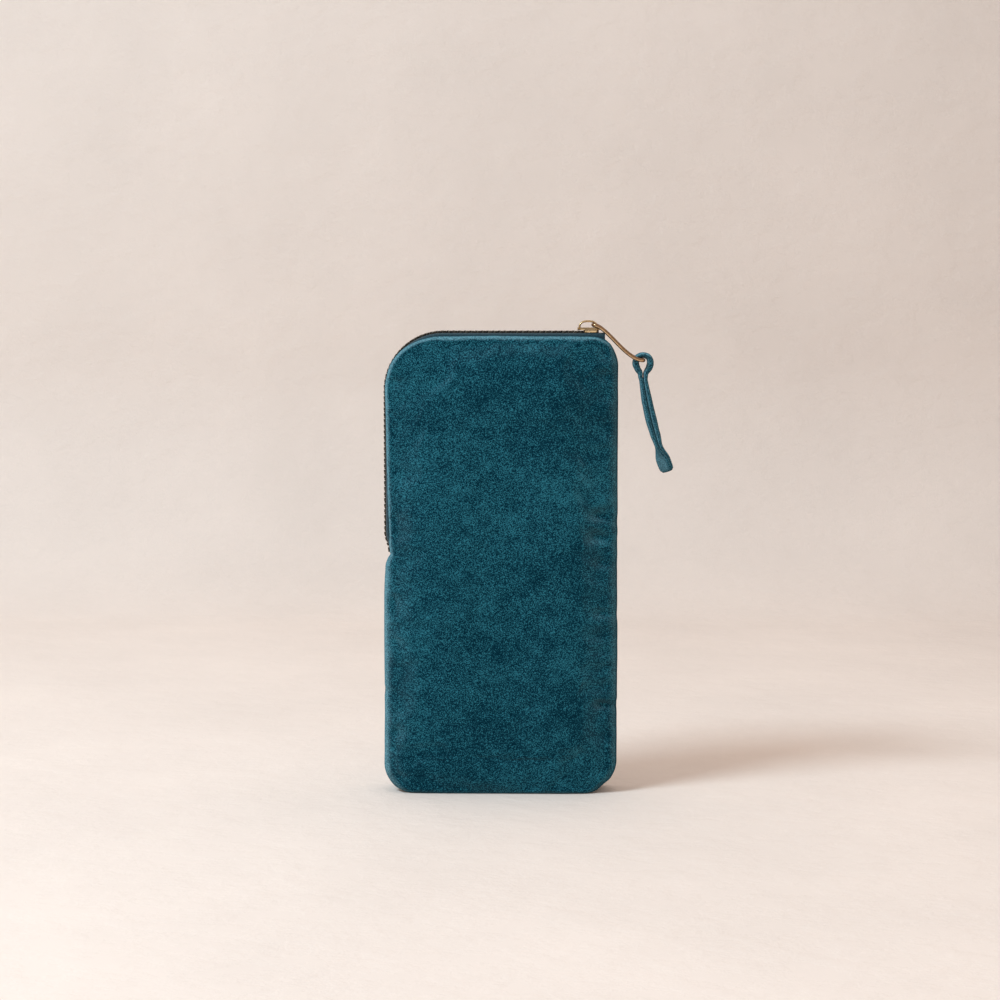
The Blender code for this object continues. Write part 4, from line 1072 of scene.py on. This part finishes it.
class GLASSES_CASE_OT_stitches(CaseOperator, bpy.types.Operator):
    """Make the stitches that hold each tape to its velvet"""
    bl_idname = "glasses_case.stitches"
    bl_label = "Tape Stitches"

    inset: a_length("Inset", "Distance into the case", 0.00168)
    depth: a_length("Depth", "Distance from the seam", 0.00458)
    thread: a_length("Thread", "Radius of the thread", 0.00019)
    MARGIN = 0.0015
    SHARE_OF_PITCH = 0.72

    def stitch(self, run):
        """One stitch: a short thread that dips into the tape at both ends."""
        points = []
        for share in (-1, -0.85, -0.5, 0, 0.5, 0.85, 1):
            radius = self.thread * (1 - 0.55 * abs(share) ** 6)
            dip = self.thread * 1.1 * share ** 4
            for step in range(6):
                turn = step / 6 * math.tau
                across, up = radius * math.cos(turn), radius * math.sin(turn) - dip
                points.append(Vector((share * run / 2, across, up)))
        return mesh_object("stitch", points, loft_faces(6, 7), bpy.data.materials["polyester_thread"])

    def execute(self, context):
        sizes, colours = chosen(context)
        thread = once("polyester_thread", woven_material, colours.thread, 0.0003, 0.3, 0.6)
        chain = Chain(sizes)
        start, end = self.MARGIN, chain.travel_to(TAPE_END_X) - self.MARGIN
        count = int((end - start) / sizes.stitch_pitch)
        for name, facing in (("front_tape_stitches", -1), ("back_tape_stitches", 1)):
            path = chain.path(start, end, self.inset, facing * self.depth)
            made = repeated(name, path, self.stitch(sizes.stitch_pitch * self.SHARE_OF_PITCH), count, thread,
                            sway=0.03, seed=2)
            on_leaf(made, facing, "lining_cloth")
        return {"FINISHED"}


class GLASSES_CASE_OT_stops(CaseOperator, bpy.types.Operator):
    """Finish the zip's two top stops and its bottom stop in brass"""
    bl_idname = "glasses_case.stops"
    bl_label = "Zip Stops"

    def execute(self, context):
        colours = context.scene.glasses_case_colours
        brass = once("antique_brass", metal_material, colours.teeth, 0.36, 0.75, 0.0005)
        for name in ("front_top_stop", "back_top_stop", "bottom_stop"):
            node = frame["nodes"][name]
            for index in range(max(len(node.material_slots), 1)):
                if node.material_slots:
                    node.material_slots[index].material = brass
                else:
                    node.data.materials.append(brass)
        return {"FINISHED"}


def rounded_polygon(corners, radius, steps=4):
    """A polygon's points with each corner rounded by an arc of about the given radius."""
    found = []
    for index, corner in enumerate(corners):
        corner = Vector(corner)
        before = Vector(corners[index - 1]) - corner
        after = Vector(corners[(index + 1) % len(corners)]) - corner
        cut = min(radius, before.length * 0.45, after.length * 0.45)
        start, end = corner + before.normalized() * cut, corner + after.normalized() * cut
        for step in range(steps + 1):
            share = step / steps
            found.append(start.lerp(corner, share).lerp(corner.lerp(end, share), share))
    return found


def upright_plate(outline, low, high):
    """Points and faces of an outline seen from above, between two heights."""
    points = [Vector((point[0], point[1], level)) for level in (low, high) for point in outline]
    return points, loft_faces(len(outline), 2)


class GLASSES_CASE_OT_slider(CaseOperator, bpy.types.Operator):
    """Make the slider: two plates joined by the diamond, side flanges and an arched crown"""
    bl_idname = "glasses_case.slider"
    bl_label = "Slider"

    top_plate: a_length("Top plate", "Its thickness", 0.0010)
    bottom_plate: a_length("Bottom plate", "Its thickness", 0.0008)
    half_width: a_length("Half width", "At the head", 0.00385)
    tail_half_width: a_length("Tail half width", "At the tail", 0.0030)
    crown_height: a_length("Crown", "Its height over the plate", 0.0030)
    crown_length: a_length("Crown length", "From foot to foot", 0.0080)
    crown_thickness: a_length("Crown thickness", "Of its strip", 0.0009)
    FOOT_HALF_WIDTH, ARCH_HALF_WIDTH = 0.0021, 0.00145
    FOOT_SINK = 0.0003

    def execute(self, context):
        sizes, colours = chosen(context)
        # The slider's flanks and rims carry painted dark reflections
        gold = once("pale_gold_plating", metal_material, colours.slider, 0.17, 0.40, 0.0007, 0.35, 0.9)
        body = self.body(gold)
        crown = self.crown(gold)
        for piece in (body, crown):
            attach(piece, "slider")
            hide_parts("zip_slider")
        return {"FINISHED"}

    def body(self, gold):
        """The plates, the diamond and the flanges, united and with rounded edges."""
        channel_top = CASE_HEIGHT + CLEARANCE
        channel_bottom = CASE_HEIGHT - TOOTH_HEIGHT - CLEARANCE
        tail, head = SLIDER_LOW.x, SLIDER_HIGH.x
        half = [(tail, 0.0016), (tail + 0.0010, self.tail_half_width), (tail + 0.0028, self.half_width),
                (head - 0.0012, self.half_width), (head, 0.0019)]
        plate = rounded_polygon(half + [(x, -y) for x, y in reversed(half)], 0.0012)
        diamond_x = head - DIAMOND_BACK
        diamond = [(diamond_x, -0.0003), (diamond_x + 0.0036, -0.00125), (diamond_x + 0.0036, 0.00125),
                   (diamond_x, 0.0003)]
        tape_top = CASE_HEIGHT - TAPE_INSET + TAPE_THICKNESS / 2 + CLEARANCE
        tape_bottom = CASE_HEIGHT - TAPE_INSET - TAPE_THICKNESS / 2 - CLEARANCE
        low, high = channel_bottom - self.bottom_plate / 2, channel_top + self.top_plate / 2
        solids = [upright_plate(plate, channel_top, channel_top + self.top_plate),
                  upright_plate(plate, channel_bottom - self.bottom_plate, channel_bottom),
                  upright_plate(diamond, low, high)]
        for way in (-1, 1):
            inner, outer = way * (self.half_width - 0.0008), way * self.half_width
            flange = [(tail + 0.0026, inner), (tail + 0.0030, outer),
                      (head - 0.0018, outer), (head - 0.0014, inner)]
            solids += [upright_plate(flange, tape_top, high), upright_plate(flange, low, tape_bottom)]
        made = mesh_object("slider_body", *solids[0], gold)
        for index, (points, faces) in enumerate(solids[1:]):
            part = mesh_object(f"slider_part_{index}", points, faces, gold)
            union = made.modifiers.new(part.name, "BOOLEAN")
            union.operation = "UNION"
            union.object = part
        bevel = made.modifiers.new("edges", "BEVEL")
        bevel.width = 0.00018
        bevel.segments = 3
        bevel.limit_method = "ANGLE"
        bevel.angle_limit = math.radians(35)
        flattened(made)
        for index in range(len(solids) - 1):
            bpy.data.objects.remove(bpy.data.objects[f"slider_part_{index}"])
        return smoothed(made, 40)

    def crown(self, gold):
        """A strip bent into a bridge, with round edges and feet that spread on the plate."""
        plate_top = CASE_HEIGHT + CLEARANCE + self.top_plate
        half_length = (self.crown_length - self.crown_thickness) / 2
        middle = SLIDER_LOW.x + 0.0004 + self.crown_length / 2
        rise = self.crown_height - self.crown_thickness / 2
        points, steps, sides = [], 28, 12
        for step in range(steps + 1):
            turn = step / steps * math.pi
            reach = half_length * squarish(math.cos(turn), 0.75)
            lift = (rise + self.FOOT_SINK) * math.sin(turn) ** 0.75
            centre = Vector((middle - reach, 0, plate_top - self.FOOT_SINK + lift))
            out = Vector((-math.cos(turn) / half_length, 0, math.sin(turn) / rise)).normalized()
            width = mix(self.FOOT_HALF_WIDTH, self.ARCH_HALF_WIDTH, math.sin(turn) ** 0.5)
            for side in range(sides):
                angle = side / sides * math.tau
                wide = squarish(math.cos(angle), 0.6) * width
                thick = squarish(math.sin(angle), 0.8) * self.crown_thickness / 2
                points.append(centre + Vector((0, wide, 0)) + out * thick)
        return mesh_object("slider_crown", points, loft_faces(sides, steps + 1), gold)


def wire_points():
    """The middle of the wire: out along one side, round the far bar and back, with small round bends."""
    reach, drop = WIRE_END.x - WIRE_START.x, WIRE_START.z - WIRE_END.z
    half_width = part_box("pull_wire")[1].y - 0.0007
    bend = 0.0013
    straight = half_width - bend

    def place(share, y):
        return Vector((WIRE_START.x + reach * share, y, WIRE_START.z - drop * smooth(share ** 0.9)))

    corner = [(bend / reach * (1 - math.cos(turn)), straight + bend * math.sin(turn)) for turn in quarter(6)]
    side = [place(0, straight * step / 6) for step in range(6)] + [place(share, y) for share, y in corner]
    side += [place(mix(bend / reach, 1 - bend / reach, step / 40), half_width) for step in range(1, 40)]
    side += [place(1 - share, y) for share, y in reversed(corner)]
    side += [place(1, straight * step / 6) for step in range(5, 0, -1)]
    back = [Vector((point.x, -point.y, point.z)) for point in reversed(side[1:])]
    return side + [place(1, 0)] + back


class GLASSES_CASE_OT_wire(CaseOperator, bpy.types.Operator):
    """Make the bent wire that links the slider with the strap"""
    bl_idname = "glasses_case.wire"
    bl_label = "Pull Wire"

    def execute(self, context):
        sizes, colours = chosen(context)
        # The wire's rims and flanks carry painted dark reflections
        finish = once("bronze_gold_wire", metal_material, colours.wire, 0.2, 0.45, 0.0012, 1.0, 0.3)
        curve = bpy.data.curves.new("pull_wire_loop", "CURVE")
        curve.dimensions = "3D"
        curve.bevel_depth = sizes.wire_diameter / 2
        curve.bevel_resolution = 6
        points = wire_points()
        spline = curve.splines.new("POLY")
        spline.points.add(len(points) - 1)
        spline.use_cyclic_u = True
        for target, point in zip(spline.points, points):
            target.co = (*point, 1)
        bent = linked("pull_wire_loop", curve)
        bpy.context.view_layer.update()
        mesh = bpy.data.meshes.new_from_object(bent.evaluated_get(bpy.context.evaluated_depsgraph_get()))
        bpy.data.objects.remove(bent)
        mesh.materials.clear()
        mesh.materials.append(finish)
        mesh.shade_smooth()
        made = linked("pull_wire_loop", mesh)
        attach(made, "pull")
        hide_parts("pull_wire")
        return {"FINISHED"}


def curve_through(points, steps):
    """Points on a smooth curve through the given ones."""
    found = []
    for index in range(len(points) - 1):
        a, b, c, d = (points[min(max(index + way, 0), len(points) - 1)] for way in (-1, 0, 1, 2))
        for step in range(steps):
            t = step / steps
            found.append(0.5 * ((2 * b) + (c - a) * t + (2 * a - 5 * b + 4 * c - d) * t * t
                                + (3 * b - a - 3 * c + d) * t * t * t))
    return found + [points[-1]]


class GLASSES_CASE_OT_strap(CaseOperator, bpy.types.Operator):
    """Make the velvet strap, a ribbon folded round the far bar of the wire"""
    bl_idname = "glasses_case.strap"
    bl_label = "Pull Strap"

    # The loop in shares of its radius, from the neck up to the top, with shares of the ribbon's thickness
    LOOP_SHARES = ((0.31, -1.7, 0.86), (0.36, -1.2, 1.0), (0.72, -0.62, 1.24), (0.90, 0.04, 1.30),
                   (0.70, 0.68, 1.12), (0.0, 1.0, 1.0))
    # Thickness of a layer in shares of the ribbon's, at shares of the way from the neck to the tip
    LAYER_SHARES = ((0, 0.86), (0.3, 1.10), (0.45, 1.16), (0.6, 1.05), (0.73, 0.80), (0.9, 0.95), (1, 0.85))
    # Unevenness of the pile: (length, height) of its waves
    FUZZ = ((0.0022, 0.00012), (0.009, 0.0002))
    SIDES = 20
    STEPS = 44
    loop_radius: a_length("Loop", "Radius of the loop round the wire", 0.00335)
    hang: a_length("Hang", "From the loop's neck to the tip", 0.0388)
    lean: a_length("Lean", "How far the tip hangs out", 0.0103)
    twist: bpy.props.FloatProperty(name="Twist", description="Turn of the tip", subtype="ANGLE",
                                   default=math.radians(40))

    def middle(self, share, loop_z):
        """The line between the two layers, from the neck to the tip."""
        lean = 0.55 * share + 0.45 * share * share
        neck = loop_z + self.LOOP_SHARES[0][1] * self.loop_radius
        return Vector((WIRE_END.x + self.lean * lean, 0, neck - self.hang * share))

    def execute(self, context):
        sizes, colours = chosen(context)
        # The ribbon carries the velvet's painted rim highlight and painted shade, with some painted highlight
        # on its face too
        finish = once("cut_velvet_ribbon", velvet_material, colours, 0.006, 0.62, 0.25)
        points = self.points(sizes)
        made = mesh_object("velvet_strap", points, loft_faces(self.SIDES, len(points) // self.SIDES), finish)
        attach(made, "strap")
        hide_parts("pull_strap")
        return {"FINISHED"}

    def layer_thickness(self, share, full):
        """Thickness of one layer: full in the middle, pressed thin at the neck and above the tip."""
        for (start, first), (end, last) in zip(self.LAYER_SHARES, self.LAYER_SHARES[1:]):
            if share <= end:
                return full * mix(first, last, smooth((share - start) / (end - start)))
        return full * self.LAYER_SHARES[-1][1]

    def layer(self, way, full, loop_z):
        """Sections of a hanging layer, tip first: centre, way through, way across, thickness, width share."""
        wide = Vector((0, 1, 0))
        found = []
        for step in range(self.STEPS, 0, -1):
            share = step / self.STEPS
            middle = self.middle(share, loop_z)
            fall = (middle - self.middle(share - 1 / self.STEPS, loop_z)).normalized()
            across = Vector((-fall.z, 0, fall.x))
            twist = self.twist * smooth((share - 0.72) / 0.18)
            turned = across * math.cos(twist) + wide * math.sin(twist)
            thickness = self.layer_thickness(share, full)
            tip = min(max(share - 0.95, 0) / 0.05, 1)
            apart = thickness * mix(0.45, 0.28, smooth((share - 0.76) / 0.16))
            found.append((middle + turned * way * apart, turned * way,
                          wide * math.cos(twist) - across * math.sin(twist), thickness,
                          mix(0.6, 1, math.sqrt(1 - tip * tip))))
        return found

    def points(self, sizes):
        full = sizes.ribbon_thickness
        loop_z = WIRE_END.z + 0.0007 + CLEARANCE - (self.loop_radius - full / 2)
        # The second coordinate of the loop's points is the ribbon's thickness there
        half = [Vector((WIRE_END.x + x * self.loop_radius, share * full, loop_z + z * self.loop_radius))
                for x, z, share in self.LOOP_SHARES]
        loop = half + [Vector((2 * WIRE_END.x - point.x, point.y, point.z)) for point in reversed(half[:-1])]
        far, near = (self.layer(way, full, loop_z) for way in (1, -1))
        ends = [Vector((layer[-1][0].x, layer[-1][3], layer[-1][0].z)) for layer in (far, near)]
        curved = curve_through([ends[0]] + loop + [ends[1]], 5)
        bend = []
        for index in range(1, len(curved) - 1):
            run = curved[index + 1] - curved[index - 1]
            place = curved[index]
            bend.append((Vector((place.x, 0, place.z)), Vector((run.z, 0, -run.x)).normalized(),
                         Vector((0, 1, 0)), place.y, 1))
        found = []
        for centre, thick, across, thickness, width_share in far + bend + near[::-1]:
            for side in range(self.SIDES):
                angle = side / self.SIDES * math.tau
                out = squarish(math.cos(angle), 0.6) * sizes.ribbon_width / 2
                up = squarish(math.sin(angle), 0.75) * thickness / 2
                point = centre + across * out * width_share + thick * up * mix(0.5, 1, width_share)
                fuzz = sum(noise.noise(point / length) * height for length, height in self.FUZZ)
                found.append(point + (point - centre).normalized() * fuzz)
        return found


# The photograph: its width and the case's middle in pixels, and the length of a pixel at the case
PIXEL = 0.000413
PHOTO_WIDTH = 1000
CASE_PIXEL = (500.8, 561.8)
CAMERA_ELEVATION = math.radians(7)
CAMERA_AZIMUTH = math.radians(1)
LENS, SENSOR = 85, 36
LAMP_DISTANCE = 1.6


class GLASSES_CASE_OT_stage(CaseOperator, bpy.types.Operator):
    """Make the pale floor and backdrop, the soft light and the camera"""
    bl_idname = "glasses_case.stage"
    bl_label = "Stage"

    key_power: bpy.props.FloatProperty(name="Key light", description="Power of the main lamp", default=17.8,
                                       min=0, unit="POWER")
    sky: bpy.props.FloatProperty(name="Room light", description="Strength of the even light", default=0.98,
                                 min=0)

    def execute(self, context):
        self.backdrop(context)
        self.lights(context)
        self.camera(context)
        return {"FINISHED"}

    def backdrop(self, context):
        """A floor that curves up into a wall well behind the case."""
        colours = context.scene.glasses_case_colours
        wall_y, radius, near, high, half = 0.62, 0.16, -1.3, 1.6, 1.8
        line = [(near, 0.0), (wall_y - radius, 0.0)]
        line += [(wall_y - radius * (1 - math.sin(turn)), radius * (1 - math.cos(turn)))
                 for turn in quarter(16, 1)]
        line.append((wall_y, high))
        points = [Vector((way * half, y, z)) for y, z in line for way in (-1, 1)]
        faces = [(2 * step, 2 * step + 1, 2 * step + 3, 2 * step + 2) for step in range(len(line) - 1)]
        mesh = plain_mesh("backdrop", points, faces)
        mesh.materials.append(once("limewashed_plaster", plaster_material, colours.plaster, 0.0010))
        mesh.shade_smooth()
        linked("backdrop", mesh)

    def lights(self, context):
        """A soft lamp from the left front, and even light from all round."""
        lamp = bpy.data.lights.new("key", "AREA")
        lamp.energy = self.key_power
        lamp.shape = "ELLIPSE"
        lamp.size, lamp.size_y = 0.60, 0.34
        lamp.color = (0.71, 0.89, 1.0)
        placed = linked("key", lamp)
        target = Vector((0, 0, CASE_HEIGHT / 2))
        direction = Vector((-0.558, -0.402, 0.726))
        placed.location = target + direction.normalized() * LAMP_DISTANCE
        placed.rotation_euler = direction.to_track_quat("Z", "Y").to_euler()
        world = bpy.data.worlds.new("room")
        context.scene.world = world
        world.use_nodes = True
        tree = world.node_tree
        tree.nodes.clear()
        coordinates = add_node(tree, "TexCoord", output="Generated")
        way = add_node(tree, "SeparateXYZ", {"Vector": coordinates}, "Y")
        room = add_node(tree, "MapRange", {
            "Value": way, "From Min": -0.75, "From Max": 0.1, "To Min": self.sky * 0.35, "To Max": self.sky},
            interpolation_type="SMOOTHSTEP")
        light = add_node(tree, "Background", {"Color": (1.0, 0.865, 0.782, 1), "Strength": room})
        add_node(tree, "OutputWorld", {"Surface": light})
        context.scene.view_settings.view_transform = "Standard"

    def camera(self, context):
        """The photograph's view: a long lens, a little above the case."""
        distance = LENS / SENSOR * PIXEL * PHOTO_WIDTH
        target = Vector((0, 0, CASE_HEIGHT / 2))
        back = Vector((math.sin(CAMERA_AZIMUTH) * math.cos(CAMERA_ELEVATION),
                       -math.cos(CAMERA_AZIMUTH) * math.cos(CAMERA_ELEVATION), math.sin(CAMERA_ELEVATION)))
        data = bpy.data.cameras.new("camera")
        data.lens, data.sensor_width = LENS, SENSOR
        data.clip_start, data.clip_end = 0.01, 20
        placed = linked("camera", data)
        placed.location = target + back * distance
        right = math.atan((CASE_PIXEL[0] - PHOTO_WIDTH / 2) * PIXEL / distance)
        down = math.atan((CASE_PIXEL[1] - PHOTO_WIDTH / 2) * PIXEL / distance)
        placed.rotation_euler = (math.pi / 2 - CAMERA_ELEVATION + down, 0, CAMERA_AZIMUTH + right)
        context.scene.camera = placed


OPERATORS = (
    GLASSES_CASE_OT_velvet, GLASSES_CASE_OT_wadding, GLASSES_CASE_OT_lining, GLASSES_CASE_OT_tape,
    GLASSES_CASE_OT_teeth, GLASSES_CASE_OT_stitches, GLASSES_CASE_OT_stops, GLASSES_CASE_OT_slider,
    GLASSES_CASE_OT_wire, GLASSES_CASE_OT_strap, GLASSES_CASE_OT_stage,
)


class VIEW3D_PT_glasses_case(bpy.types.Panel):
    """Lists the pieces of the case in the 3D view's sidebar"""
    bl_idname = "VIEW3D_PT_glasses_case"
    bl_label = "Glasses Case"
    bl_space_type = "VIEW_3D"
    bl_region_type = "UI"
    bl_category = "Glasses Case"

    def draw(self, context):
        for group in chosen(context):
            box = self.layout.box()
            for name in group.bl_rna.properties.keys():
                if name not in ("rna_type", "name"):
                    box.prop(group, name)
        for operator in OPERATORS:
            self.layout.operator(operator.bl_idname)


CLASSES = (CaseSizes, CaseColours, *OPERATORS, VIEW3D_PT_glasses_case)


def register():
    for item in CLASSES:
        bpy.utils.register_class(item)
    bpy.types.Scene.glasses_case_sizes = bpy.props.PointerProperty(type=CaseSizes)
    bpy.types.Scene.glasses_case_colours = bpy.props.PointerProperty(type=CaseColours)


def unregister():
    del bpy.types.Scene.glasses_case_colours
    del bpy.types.Scene.glasses_case_sizes
    for item in reversed(CLASSES):
        bpy.utils.unregister_class(item)


def main():
    register()
    bpy.ops.glasses_case.velvet()
    bpy.ops.glasses_case.wadding()
    bpy.ops.glasses_case.lining()
    bpy.ops.glasses_case.tape()
    bpy.ops.glasses_case.teeth()
    bpy.ops.glasses_case.stitches()
    bpy.ops.glasses_case.stops()
    bpy.ops.glasses_case.slider()
    bpy.ops.glasses_case.wire()
    bpy.ops.glasses_case.strap()
    bpy.ops.glasses_case.stage()


if __name__ == "__main__":
    main()
